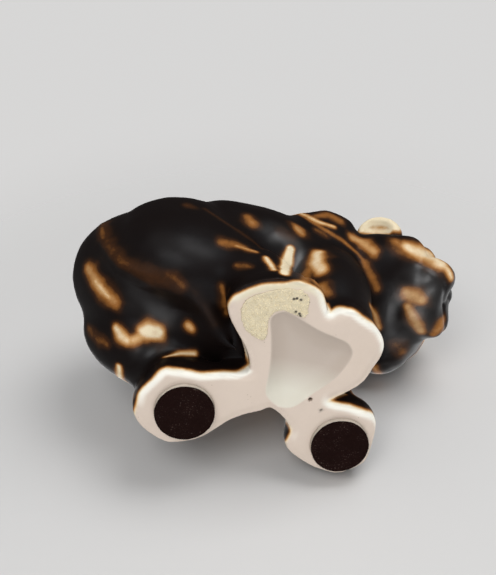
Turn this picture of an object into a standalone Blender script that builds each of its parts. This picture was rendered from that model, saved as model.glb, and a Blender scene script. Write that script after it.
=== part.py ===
"""Glazed stoneware puppy figurine, modelled section by section as it is cast and luted together.

+X points to the nose, +Y to the dog's left and +Z up. The clay is modelled above its own sole at z = 0,
and one empty then lifts it onto its felt pads and centres it over the origin.
"""

import math
from collections import namedtuple

import bmesh
import bpy
from mathutils import Euler, Matrix, Vector

MM = 0.001

# Overall sizes of the dog, above its sole, and of its head
DOG_LENGTH = 111.0 * MM
DOG_WIDTH = 57.0 * MM
DOG_HEIGHT = 63.0 * MM
HEAD_LENGTH = 37.0 * MM
HEAD_WIDTH = 45.0 * MM
HEAD_HEIGHT = 34.0 * MM

# The dog is measured in 111 parts along, 57 across and 63 up, and its head in 37, 45 and 34
BODY_PART = Vector((DOG_LENGTH / 111, DOG_WIDTH / 57, DOG_HEIGHT / 63))
HEAD_PART = Vector((HEAD_LENGTH / 37, HEAD_WIDTH / 45, HEAD_HEIGHT / 34))


def spot(x, y, z=0.0, part=BODY_PART):
    """A place or a reach given in parts."""
    return Vector((x * part.x, y * part.y, z * part.z))


# Felt pads and the glue that holds them
PAD_DIAMETER = 16.0 * MM
PAD_THICKNESS = 1.2 * MM
PAD_EDGE = 0.25 * MM
GLUE_DIAMETER = 13.0 * MM
GLUE_THICKNESS = 0.4 * MM
SEAT_GAP = 0.3 * MM

# Sole: the flat unglazed foot of the casting
SOLE_THICKNESS = 8.0 * MM
PAW_ROUND = 2.4 * MM
SOLE_RIM = 1.2 * MM
RIM_OVERHANG = 0.4 * MM
RECESS_DEPTH = 1.4 * MM
RECESS_EDGE = 0.7 * MM
VENT_DIAMETER = 1.1 * MM
VENT_PLACE = spot(11.9, 7.0)

# Clay: the joint between two sections, the cast wall and the drain into the hollow
LUTING_GAP = 0.3 * MM
CAST_WALL = 6.0 * MM
DRAIN_DIAMETER = 6.0 * MM

# How finely the clay is modelled
CLAY_GRAIN = 1.5 * MM
HEAD_GRAIN = 1.1 * MM
SMOOTHING_PASSES = 10
KEPT_FACES = 0.13
HEAD_KEPT_FACES = 0.10
HOLLOW_GRAIN = 3.0 * MM
HOLLOW_KEPT_FACES = 0.25
OUTLINE_STEPS = 3

Form = namedtuple("Form", "centre reach tilt")


def form(x, y, z, long, wide, tall, roll=0.0, pitch=0.0, part=BODY_PART):
    """An ellipsoid of clay: its centre and half sizes in parts, and its angles in degrees."""
    tilt = Euler((math.radians(roll), math.radians(pitch), 0.0)).to_matrix().to_4x4()
    return Form(spot(x, y, z, part), spot(long, wide, tall, part), tilt)


def head_form(*sizes, **angles):
    """An ellipsoid of clay measured in the head's own parts."""
    return form(*sizes, part=HEAD_PART, **angles)


# Feet: each lobe of the sole, as the angle and reach of its rim around the middle of the foot
Foot = namedtuple("Foot", "centre rim")


def foot(x, y, *rim):
    """A foot's middle in parts and its rim as pairs of an angle in degrees and a reach."""
    return Foot(spot(x, y), [(math.radians(angle), reach) for angle, reach in rim])


RIGHT_HIND_FOOT = foot(-4.5, -16.5, (97, 16.0), (110, 12.8), (130, 11.4), (153, 11.4), (174, 11.7),
                       (194, 10.7), (216, 8.9), (255, 7.7), (296, 8.7), (317, 10.8), (334, 12.1), (352, 12.9))
RIGHT_FORE_FOOT = foot(17.0, -10.5, (222, 9.8), (249, 9.9), (275, 8.8), (312, 7.8), (342, 8.7), (366, 9.0),
                       (392, 9.4), (413, 11.5), (433, 13.6))
LEFT_FORE_FOOT = foot(23.5, 18.3, (-118, 13.7), (-96, 11.8), (-71, 11.9), (-48, 11.3), (-23, 9.5), (3, 9.1),
                      (29, 9.9), (69, 9.8), (95, 9.4), (121, 10.0), (153, 12.8), (168, 14.2), (189, 14.4))
LEFT_HIND_FOOT = foot(-19.4, 17.2, (-14, 23.0), (-12, 20.1), (-9, 16.9), (-3, 13.7), (10, 11.1), (36, 9.7),
                      (63, 9.6), (97, 10.6), (121, 11.1), (148, 12.3), (168, 13.0), (189, 12.6), (213, 13.0),
                      (234, 13.3), (253, 11.9), (285, 12.2), (307, 16.1), (315, 19.4))
FEET_ROUND_THE_SOLE = (RIGHT_HIND_FOOT, RIGHT_FORE_FOOT, LEFT_FORE_FOOT, LEFT_HIND_FOOT)

# The glazed hollow in the sole, and the smear of glue left by a lost pad beside it
RECESS_OUTLINE = [spot(*point) for point in (
    (-4.9, -13.0), (-4.0, -14.9), (-2.0, -16.0), (0.8, -15.5), (4.3, -14.3), (8.5, -12.9), (13.1, -12.0),
    (16.0, -11.3), (17.8, -9.8), (18.5, -7.9), (17.9, -4.7), (16.4, -0.9), (14.3, 2.2), (12.0, 5.0), (10.2, 7.7),
    (8.4, 9.8), (6.3, 10.8), (3.5, 10.5), (0.9, 8.9), (-0.4, 6.8), (-1.0, 1.7), (-2.0, -3.5), (-3.4, -8.4))]
RESIDUE_OUTLINE = [spot(*point) for point in (
    (-12.3, -12.4), (-12.8, -15.1), (-11.9, -17.3), (-10.1, -18.9), (-7.7, -20.4), (-5.0, -21.6), (-1.9, -22.4),
    (0.7, -22.4), (2.6, -21.1), (3.3, -18.6), (3.3, -15.8), (0.1, -15.9), (-2.4, -16.4), (-4.4, -15.4),
    (-5.4, -13.3), (-5.1, -10.9), (-4.6, -9.0), (-5.2, -7.3), (-7.4, -7.6), (-9.8, -8.7), (-11.3, -10.3))]

# Trunk
RUMP = form(-31.0, -1.5, 35.0, 24.0, 19.5, 22.0)
BARREL = form(-6.0, -2.5, 39.0, 31.0, 25.5, 21.0)
CHEST = form(16.0, -1.5, 31.0, 15.0, 18.0, 25.0)
BELLY = form(2.5, -1.0, 11.0, 15.0, 13.0, 12.0)
WITHERS = form(15.0, -4.0, 48.0, 18.0, 17.0, 12.5)
NECK = form(27.0, -6.0, 44.0, 14.0, 16.5, 15.0)
RIGHT_SHOULDER = form(14.0, -18.5, 46.5, 14.0, 9.5, 12.5)
SEAT = form(-14.5, 1.0, 18.0, 13.0, 9.5, 9.5)
TRUNK_FORMS = (RUMP, BARREL, CHEST, BELLY, WITHERS, NECK, RIGHT_SHOULDER, SEAT)
HOLLOW_FORMS = (RUMP, BARREL, CHEST)

# Legs, each from the shoulder or haunch down to its foot
RIGHT_HIND_FORMS = (form(-25.0, -14.0, 28.5, 20.5, 13.0, 19.8, pitch=20.0),
                    form(-8.8, -17.6, 15.0, 11.0, 7.2, 9.8),
                    form(-4.8, -16.2, 8.0, 11.2, 7.9, 8.0))
LEFT_HIND_FORMS = (form(-28.0, 12.0, 28.5, 21.0, 13.0, 20.0),
                   form(-35.0, 7.5, 17.0, 6.5, 6.5, 8.0),
                   form(-20.8, 16.6, 11.0, 11.6, 10.2, 12.0))
RIGHT_FORE_FORMS = (form(14.5, -13.5, 25.0, 11.5, 11.5, 22.0),
                    form(17.0, -11.0, 8.5, 8.4, 8.2, 9.0))
LEFT_FORE_FORMS = (form(15.0, 11.0, 25.0, 12.0, 11.0, 21.0),
                   form(19.0, 14.5, 12.0, 9.0, 9.0, 12.0),
                   form(21.5, 17.0, 8.0, 10.4, 9.6, 7.0))

# Head, in its own frame: forward, left and up from the middle of the skull
HEAD_PLACE = spot(37.0, -6.0, 45.0)
HEAD_TURN = -27.0
HEAD_PITCH = 14.0
SKULL = head_form(-1.5, 0.0, 2.0, 16.5, 20.0, 15.5)
CHEEK = head_form(0.5, 11.5, -2.5, 14.0, 11.2, 12.0)
MUZZLE = head_form(11.5, -1.5, -5.0, 9.2, 10.5, 7.2)
CHIN = head_form(11.0, -1.5, -10.5, 7.5, 6.8, 4.2)
LEFT_FLEW = head_form(13.6, 4.8, -7.6, 6.0, 5.4, 5.4)
RIGHT_FLEW = head_form(15.6, -8.2, -7.2, 6.4, 5.6, 5.6)
BROW = head_form(11.0, 7.2, 6.0, 5.0, 5.4, 4.6)
NOSE = head_form(19.2, -1.5, -1.8, 2.8, 4.4, 3.0)
EYE_SOCKET = head_form(15.2, 8.2, 1.8, 1.8, 2.0, 1.7)

# Ears, in the head's frame
EAR = head_form(2.0, 16.5, 10.0, 7.4, 3.8, 7.4, roll=-38.0)
EAR_CUP = head_form(2.0, 19.5, 9.7, 5.0, 3.0, 5.0, roll=-38.0)

# Tail: a cord of clay from inside the rump, down its back and in between the hind feet
TAIL_RADIUS = 3.6 * MM
TAIL_TAPER = (0.7, 1.0, 1.0, 1.0, 1.0, 1.0, 0.95, 0.9, 0.85, 0.8, 0.7, 0.4)
TAIL_PATH = [spot(*point) for point in (
    (-37.0, -5.5, 43.0), (-43.5, -8.0, 45.5), (-47.6, -11.4, 37.0), (-46.2, -11.9, 26.5), (-43.0, -11.6, 19.3),
    (-38.4, -11.6, 15.3), (-33.0, -11.9, 13.0), (-27.6, -11.7, 11.8), (-22.0, -9.6, 11.4), (-17.6, -5.6, 10.6),
    (-13.0, -1.0, 8.0), (-9.0, -1.0, 5.0))]
TAIL_STEPS = 2
TAIL_SIDES = 2

GLAZE_COLOUR = (0.030, 0.018, 0.012)
BISQUE_COLOUR = (0.78, 0.72, 0.66)
FELT_COLOUR = (0.016, 0.011, 0.009)
GLUE_COLOUR = (0.62, 0.52, 0.34)

sole_height = PAD_THICKNESS + SEAT_GAP + GLUE_THICKNESS + SEAT_GAP


def start_clean():
    """Empty the scene and make one collection for the figurine and one for its cutters."""
    for item in list(bpy.data.objects):
        bpy.data.objects.remove(item, do_unlink=True)
    parts = bpy.data.collections.new("puppy_figurine")
    cutters = bpy.data.collections.new("cutters")
    for group in (parts, cutters):
        bpy.context.scene.collection.children.link(group)
    return parts, cutters


PARTS, CUTTERS = start_clean()


def finish(name, colour, roughness):
    """A plain finish with the piece's own colour."""
    material = bpy.data.materials.new(name)
    material.use_nodes = True
    shader = material.node_tree.nodes["Principled BSDF"]
    shader.inputs["Base Color"].default_value = (*colour, 1.0)
    shader.inputs["Roughness"].default_value = roughness
    shader.inputs["Metallic"].default_value = 0.0
    return material


GLAZE = finish("glaze", GLAZE_COLOUR, 0.35)
BISQUE = finish("bisque", BISQUE_COLOUR, 0.8)
FELT = finish("felt", FELT_COLOUR, 0.95)
GLUE = finish("dried_glue", GLUE_COLOUR, 0.7)


def as_part(name, mesh, material):
    """Put a mesh in the figurine under its own name and finish, shaded smooth."""
    piece = bpy.data.objects.new(name, mesh)
    PARTS.objects.link(piece)
    mesh.materials.clear()
    mesh.materials.append(material)
    mesh.shade_smooth()
    mesh.set_sharp_from_angle(angle=math.radians(35))
    return piece


def as_cutter(name, mesh):
    """Put a mesh among the cutters, which only shape other pieces."""
    piece = bpy.data.objects.new(name, mesh)
    CUTTERS.objects.link(piece)
    piece.hide_render = True
    piece.display_type = "WIRE"
    return piece


def settled_mesh(piece):
    """The piece's mesh with its modifiers worked in, welded where a curve's caps were loose."""
    bpy.context.view_layer.update()
    seen = piece.evaluated_get(bpy.context.evaluated_depsgraph_get())
    mesh = bpy.data.meshes.new_from_object(seen)
    shape = bmesh.new()
    shape.from_mesh(mesh)
    bmesh.ops.remove_doubles(shape, verts=shape.verts, dist=0.001 * MM)
    shape.to_mesh(mesh)
    shape.free()
    return mesh


def settle(piece):
    """Work a part's cuts into its mesh and trim off any crumb that they left loose."""
    mesh = settled_mesh(piece)
    shape = bmesh.new()
    shape.from_mesh(mesh)
    unseen = set(shape.verts)
    bodies = []
    while unseen:
        reached = {unseen.pop()}
        edge_of_reach = list(reached)
        while edge_of_reach:
            vertex = edge_of_reach.pop()
            for edge in vertex.link_edges:
                other = edge.other_vert(vertex)
                if other in unseen:
                    unseen.remove(other)
                    reached.add(other)
                    edge_of_reach.append(other)
        bodies.append(reached)
    bodies.sort(key=len)
    for crumb in bodies[:-1]:
        bmesh.ops.delete(shape, geom=list(crumb), context="VERTS")
    shape.to_mesh(mesh)
    shape.free()
    piece.modifiers.clear()
    piece.data = mesh
    return piece


def cut(piece, *cutters):
    """Take each cutter's shape out of a piece."""
    for cutter in cutters:
        boolean = piece.modifiers.new(cutter.name, "BOOLEAN")
        boolean.operation = "DIFFERENCE"
        boolean.solver = "EXACT"
        boolean.object = cutter


def clay(name, forms, place=Matrix(), thinner=0.0, grain=CLAY_GRAIN, kept=KEPT_FACES):
    """One smooth lump: its forms run together, softened where they meet and lightened."""
    shape = bmesh.new()
    for lump in forms:
        reach = [half - thinner for half in lump.reach]
        matrix = place @ Matrix.Translation(lump.centre) @ lump.tilt @ Matrix.Diagonal((*reach, 1.0))
        bmesh.ops.create_uvsphere(shape, u_segments=40, v_segments=24, radius=1.0, matrix=matrix)
    mesh = bpy.data.meshes.new(name)
    shape.to_mesh(mesh)
    shape.free()
    lump = as_cutter(name, mesh)
    remesh = lump.modifiers.new("run together", "REMESH")
    remesh.mode = "VOXEL"
    remesh.voxel_size = grain
    smooth = lump.modifiers.new("soften", "SMOOTH")
    smooth.factor = 0.5
    smooth.iterations = SMOOTHING_PASSES
    lighten = lump.modifiers.new("lighten", "DECIMATE")
    lighten.ratio = kept
    lighten.use_collapse_triangulate = True
    mesh = settled_mesh(lump)
    lump.modifiers.clear()
    lump.data = mesh
    return lump


def lone_form(name, lump, place):
    """A single ellipsoid among the cutters."""
    shape = bmesh.new()
    matrix = place @ Matrix.Translation(lump.centre) @ lump.tilt @ Matrix.Diagonal((*lump.reach, 1.0))
    bmesh.ops.create_uvsphere(shape, u_segments=20, v_segments=12, radius=1.0, matrix=matrix)
    mesh = bpy.data.meshes.new(name)
    shape.to_mesh(mesh)
    shape.free()
    return as_cutter(name, mesh)


def room_for(lump):
    """The space a lump takes with its luting gap all round, to cut its neighbours with."""
    room = as_cutter(lump.name + "_room", lump.data.copy())
    grow = room.modifiers.new("gap", "DISPLACE")
    grow.direction = "NORMAL"
    grow.mid_level = 0.0
    grow.strength = LUTING_GAP
    return room


def slab(name, low, high, reach=0.2):
    """A wide flat cutter between two heights."""
    shape = bmesh.new()
    matrix = Matrix.Translation((0, 0, (low + high) / 2)) @ Matrix.Diagonal((reach, reach, high - low, 1.0))
    bmesh.ops.create_cube(shape, size=1.0, matrix=matrix)
    mesh = bpy.data.meshes.new(name)
    shape.to_mesh(mesh)
    shape.free()
    return as_cutter(name, mesh)


def drum(name, place, diameter, low, high, sides=40):
    """A round upright cutter or blank between two heights."""
    shape = bmesh.new()
    matrix = Matrix.Translation((place.x, place.y, (low + high) / 2))
    bmesh.ops.create_cone(shape, cap_ends=True, segments=sides, radius1=diameter / 2, radius2=diameter / 2,
                          depth=high - low, matrix=matrix)
    mesh = bpy.data.meshes.new(name)
    shape.to_mesh(mesh)
    shape.free()
    return mesh


def smooth_loop(points, steps=OUTLINE_STEPS):
    """A closed rounded line through the points, with a few straight steps between each two."""
    count = len(points)
    loop = []
    for index in range(count):
        before, here, after, beyond = (points[(index + step) % count] for step in (-1, 0, 1, 2))
        for step in range(steps):
            t = step / steps
            loop.append(0.5 * (2 * here + (after - before) * t
                               + (2 * before - 5 * here + 4 * after - beyond) * t ** 2
                               + (3 * here - before - 3 * after + beyond) * t ** 3))
    return loop


def plate(name, outline, low, high, edge, overhang=0.0, edge_steps=2):
    """A flat piece with a rounded edge, from its outline and its lower and upper faces."""
    curve = bpy.data.curves.new(name, "CURVE")
    curve.dimensions = "2D"
    curve.fill_mode = "BOTH"
    curve.extrude = (high - low) / 2 - edge
    curve.bevel_depth = edge
    curve.bevel_resolution = edge_steps
    curve.offset = overhang - edge
    loop = smooth_loop(outline)
    spline = curve.splines.new("POLY")
    spline.points.add(len(loop) - 1)
    for point, place in zip(spline.points, loop):
        point.co = (place.x, place.y, 0.0, 1.0)
    spline.use_cyclic_u = True
    blank = bpy.data.objects.new(name, curve)
    CUTTERS.objects.link(blank)
    mesh = settled_mesh(blank)
    mesh.transform(Matrix.Translation((0, 0, (low + high) / 2)))
    bpy.data.objects.remove(blank)
    return mesh


def sole_outline():
    """The rim of the sole, foot by foot."""
    rim = []
    for here in FEET_ROUND_THE_SOLE:
        for angle, reach in here.rim:
            rim.append(here.centre + spot(math.cos(angle) * reach, math.sin(angle) * reach))
    return rim


def make_sole():
    """The flat foot of the casting, with its glazed hollow and its vent."""
    under = PAW_ROUND - SOLE_RIM
    blank = plate("sole", sole_outline(), -under, SOLE_THICKNESS, PAW_ROUND, RIM_OVERHANG)
    sole_room = room_for(as_cutter("sole_blank", blank.copy()))
    sole = as_part("sole", blank, BISQUE)
    ground = slab("ground", -under * 2, 0.0)
    recess = plate("sole_recess", RECESS_OUTLINE, -RECESS_DEPTH, RECESS_DEPTH, RECESS_EDGE)
    vent = drum("sole_vent", VENT_PLACE, VENT_DIAMETER, -under, SOLE_THICKNESS * 2, sides=12)
    cut(sole, ground, as_cutter("sole_recess", recess), as_cutter("sole_vent", vent))
    settle(sole)
    return sole_room


def make_pads():
    """The two felt pads that are left, each on its film of glue, and the smear where one is lost."""
    glue_top = -SEAT_GAP
    pad_top = glue_top - GLUE_THICKNESS - SEAT_GAP
    for place, here in (("left_hind", LEFT_HIND_FOOT), ("left_fore", LEFT_FORE_FOOT)):
        film = drum("glue", here.centre, GLUE_DIAMETER, glue_top - GLUE_THICKNESS, glue_top)
        as_part("pad_glue_" + place, film, GLUE)
        felt = drum("pad", here.centre, PAD_DIAMETER, pad_top - PAD_THICKNESS, pad_top)
        pad = as_part("felt_pad_" + place, felt, FELT)
        edge = pad.modifiers.new("edge", "BEVEL")
        edge.width = PAD_EDGE
        edge.segments = 1
        edge.limit_method = "ANGLE"
    smear = plate("glue_residue", RESIDUE_OUTLINE, glue_top - GLUE_THICKNESS, glue_top, GLUE_THICKNESS / 3,
                  edge_steps=0)
    as_part("glue_residue", smear, GLUE)


def mirrored(lump):
    """The same form on the other side of the head."""
    flip = Matrix.Diagonal((1, -1, 1, 1))
    return Form(Vector((lump.centre.x, -lump.centre.y, lump.centre.z)), lump.reach, flip @ lump.tilt @ flip)


def head_place():
    """Where the head's own frame stands on the trunk."""
    turn = Euler((0, math.radians(HEAD_PITCH), math.radians(HEAD_TURN))).to_matrix().to_4x4()
    return Matrix.Translation(HEAD_PLACE) @ turn


def make_tail():
    """The tail as a tapering cord of clay."""
    curve = bpy.data.curves.new("tail", "CURVE")
    curve.dimensions = "3D"
    curve.bevel_depth = TAIL_RADIUS
    curve.bevel_resolution = TAIL_SIDES
    curve.resolution_u = TAIL_STEPS
    curve.use_fill_caps = True
    spline = curve.splines.new("BEZIER")
    spline.bezier_points.add(len(TAIL_PATH) - 1)
    for point, place, taper in zip(spline.bezier_points, TAIL_PATH, TAIL_TAPER):
        point.co = place
        point.handle_left_type = point.handle_right_type = "AUTO"
        point.radius = taper
    blank = bpy.data.objects.new("tail_blank", curve)
    CUTTERS.objects.link(blank)
    mesh = settled_mesh(blank)
    bpy.data.objects.remove(blank)
    return as_cutter("tail_core", mesh)


def make_clay():
    """The glazed sections: the trunk, then what is luted onto it, each cut to its neighbours."""
    sole_room = make_sole()
    below = slab("below_the_legs", -SOLE_THICKNESS, SOLE_THICKNESS + LUTING_GAP)

    core = clay("trunk_core", TRUNK_FORMS)
    core_room = room_for(core)
    trunk = as_part("trunk", core.data.copy(), GLAZE)
    hollow = clay("trunk_hollow", HOLLOW_FORMS, thinner=CAST_WALL, grain=HOLLOW_GRAIN,
                  kept=HOLLOW_KEPT_FACES)
    drain = drum("drain", VENT_PLACE, DRAIN_DIAMETER, 0.0, BARREL.centre.z, sides=12)
    cut(trunk, below, hollow, as_cutter("drain", drain))
    settle(trunk)

    cord = make_tail()
    tail_room = room_for(cord)
    tail = as_part("tail", cord.data.copy(), GLAZE)
    cut(tail, core_room, sole_room)
    settle(tail)

    leg_rooms = {}
    for name, forms in (("right_hind_leg", RIGHT_HIND_FORMS), ("left_hind_leg", LEFT_HIND_FORMS),
                        ("right_foreleg", RIGHT_FORE_FORMS), ("left_foreleg", LEFT_FORE_FORMS)):
        lump = clay(name + "_core", forms)
        leg = as_part(name, lump.data.copy(), GLAZE)
        cut(leg, core_room, below, tail_room, *leg_rooms.values())
        settle(leg)
        leg_rooms[name] = room_for(lump)

    place = head_place()
    face = [SKULL, MUZZLE, CHIN, LEFT_FLEW, RIGHT_FLEW, NOSE]
    for side in (CHEEK, BROW):
        face += [side, mirrored(side)]
    skull = clay("head_core", face, place, grain=HEAD_GRAIN, kept=HEAD_KEPT_FACES)
    skull_room = room_for(skull)
    head = as_part("head", skull.data.copy(), GLAZE)
    sockets = [lone_form("left_eye_socket", EYE_SOCKET, place),
               lone_form("right_eye_socket", mirrored(EYE_SOCKET), place)]
    cut(head, core_room, leg_rooms["right_foreleg"], leg_rooms["left_foreleg"], *sockets)
    settle(head)

    for name, lump, cup in (("left_ear", EAR, EAR_CUP), ("right_ear", mirrored(EAR), mirrored(EAR_CUP))):
        blank = lone_form(name + "_blank", lump, place)
        ear = as_part(name, blank.data.copy(), GLAZE)
        cut(ear, skull_room, core_room, lone_form(name + "_cup", cup, place))
        settle(ear)


def stand_on_pads():
    """Lift the figurine onto its pads and centre it over the origin."""
    bpy.context.view_layer.update()
    corners = [piece.matrix_world @ Vector(corner) for piece in PARTS.objects for corner in piece.bound_box]
    middle = [(min(point[axis] for point in corners) + max(point[axis] for point in corners)) / 2
              for axis in (0, 1)]
    datum = bpy.data.objects.new("sole_datum", None)
    CUTTERS.objects.link(datum)
    datum.location = (-middle[0], -middle[1], sole_height)
    for piece in PARTS.objects:
        piece.parent = datum


make_clay()
make_pads()
stand_on_pads()
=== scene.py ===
"""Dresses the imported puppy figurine: one glazed skin, two felt pads, dried glue and a plain stage.

+X points to the nose, +Y to the dog's left and +Z up, as in the CAD model. The dog stands on its pads at
z = 0 and the camera looks up at its sole, as the photograph does with the figurine lying on its left side.
"""

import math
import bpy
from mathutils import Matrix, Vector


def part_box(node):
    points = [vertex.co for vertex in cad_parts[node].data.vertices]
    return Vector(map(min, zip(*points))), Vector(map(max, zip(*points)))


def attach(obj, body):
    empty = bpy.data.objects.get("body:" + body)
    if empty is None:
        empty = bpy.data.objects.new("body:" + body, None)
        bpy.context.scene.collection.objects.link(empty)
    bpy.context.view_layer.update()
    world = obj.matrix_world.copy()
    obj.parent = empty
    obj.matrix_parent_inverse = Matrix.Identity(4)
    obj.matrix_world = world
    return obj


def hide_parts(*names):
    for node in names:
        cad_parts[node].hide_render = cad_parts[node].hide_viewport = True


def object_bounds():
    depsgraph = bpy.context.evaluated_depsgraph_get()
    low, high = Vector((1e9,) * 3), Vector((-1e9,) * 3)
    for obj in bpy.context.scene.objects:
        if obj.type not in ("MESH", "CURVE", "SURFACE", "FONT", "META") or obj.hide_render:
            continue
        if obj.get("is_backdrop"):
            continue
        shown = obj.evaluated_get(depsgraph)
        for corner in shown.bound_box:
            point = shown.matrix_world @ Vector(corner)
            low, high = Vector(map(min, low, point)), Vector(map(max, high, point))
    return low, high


bl_info = {
    "name": "Glazed puppy figurine",
    "version": (1, 0, 0),
    "blender": (4, 5, 0),
    "location": "View3D > Sidebar > Figurine",
    "description": "Dresses the packed figurine in glaze, felt and dried glue on a plain stage",
    "category": "Object",
}

from collections import namedtuple

import bmesh
import bpy
import numpy as np
from bpy.props import FloatProperty, FloatVectorProperty, IntProperty, PointerProperty
from mathutils import Euler, Matrix, Vector, noise
from mathutils.bvhtree import BVHTree
from mathutils.kdtree import KDTree

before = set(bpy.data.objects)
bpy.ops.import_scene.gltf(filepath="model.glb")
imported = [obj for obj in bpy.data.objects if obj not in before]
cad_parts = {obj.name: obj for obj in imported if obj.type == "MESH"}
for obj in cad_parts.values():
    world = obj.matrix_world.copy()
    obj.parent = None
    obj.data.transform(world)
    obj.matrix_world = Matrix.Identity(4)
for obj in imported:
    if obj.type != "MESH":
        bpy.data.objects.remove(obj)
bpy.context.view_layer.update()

MM = 0.001
CLAY_NODES = ("sole", "trunk", "tail", "right_hind_leg", "left_hind_leg", "right_foreleg", "left_foreleg",
              "head", "left_ear", "right_ear")
PAD_NODES = ("felt_pad_left_hind", "felt_pad_left_fore")
FILM_NODES = ("pad_glue_left_hind", "pad_glue_left_fore")


def middle_of(node):
    """The middle of a CAD node's box."""
    low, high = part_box(node)
    return (low + high) / 2


# The clay's own frame: the dog's sole at height 0, with the left hind pad at a known place
HIND_PAD_IN_CLAY = Vector((-19.4, 17.2, 0.0)) * MM
HIND_PAD = middle_of("felt_pad_left_hind")
SOLE_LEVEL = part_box("sole")[0].z
CLAY_DATUM = Vector((HIND_PAD.x, HIND_PAD.y, SOLE_LEVEL)) - HIND_PAD_IN_CLAY

HEAD_PLACE = (37.0, -6.0, 45.0)
HEAD_TURN = Euler((0.0, math.radians(14.0), math.radians(-27.0)))


def clay_spot(x, y, z=0.0):
    """A place given in millimetres in the clay's frame."""
    return CLAY_DATUM + Vector((x, y, z)) * MM


HEAD_FRAME = Matrix.Translation(clay_spot(*HEAD_PLACE)) @ HEAD_TURN.to_matrix().to_4x4()
LOOK_BACK = HEAD_TURN.to_matrix() @ Vector((-1, 0, 0))
SIDE_SWAP = Matrix.Diagonal((1, -1, 1, 1))
HEAD_MIRROR = HEAD_FRAME @ SIDE_SWAP @ HEAD_FRAME.inverted()
BODY_MIRROR = Matrix.Translation((0, 2 * (CLAY_DATUM.y - 2.0 * MM), 0)) @ SIDE_SWAP


def head_spot(x, y, z):
    """A place given in millimetres forward, left and up from the middle of the skull."""
    return HEAD_FRAME @ (Vector((x, y, z)) * MM)


# The camera, found from the two pads and the sole in the photograph
PICTURE_MIDDLE = Vector((248.0, 287.5))
PICTURE_HEIGHT = 575
FOCAL_PIXELS = 900.0
SENSOR = 36.0
EYE_FROM_HIND_PAD = Vector((-35.10, -121.33, -196.82)) * MM
EYE_TURN = Euler([math.radians(angle) for angle in (155.261, 4.990, -15.748)])
EYE_PLACE = Vector((HIND_PAD.x, HIND_PAD.y, 0.0)) + EYE_FROM_HIND_PAD
# Distances from the camera at which a line of sight can pass the object, in metres
PASSING_REACHES = np.arange(0.20, 0.30, 0.002)


def sight_line(across, down):
    """The direction from the camera through a pixel of the picture."""
    flat = (Vector((across, down)) - PICTURE_MIDDLE) / FOCAL_PIXELS
    return (EYE_TURN.to_matrix() @ Vector((flat.x, -flat.y, -1.0))).normalized()


def on_level(level, pixel):
    """The place at a height that the camera sees at a pixel."""
    ray = sight_line(*pixel)
    return EYE_PLACE + ray * ((level - EYE_PLACE.z) / ray.z)


def picture_places(places):
    """The pixels at which the camera sees places."""
    seen = (places - np.array(EYE_PLACE)) @ np.array(EYE_TURN.to_matrix())
    return np.array(PICTURE_MIDDLE) + FOCAL_PIXELS * seen[:, :2] * (1.0, -1.0) / -seen[:, 2:]


# Places where the glaze ran thin, read off the photograph: how thin, half width and line, in pixels
Streak = namedtuple("Streak", "thinness reach line")

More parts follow.
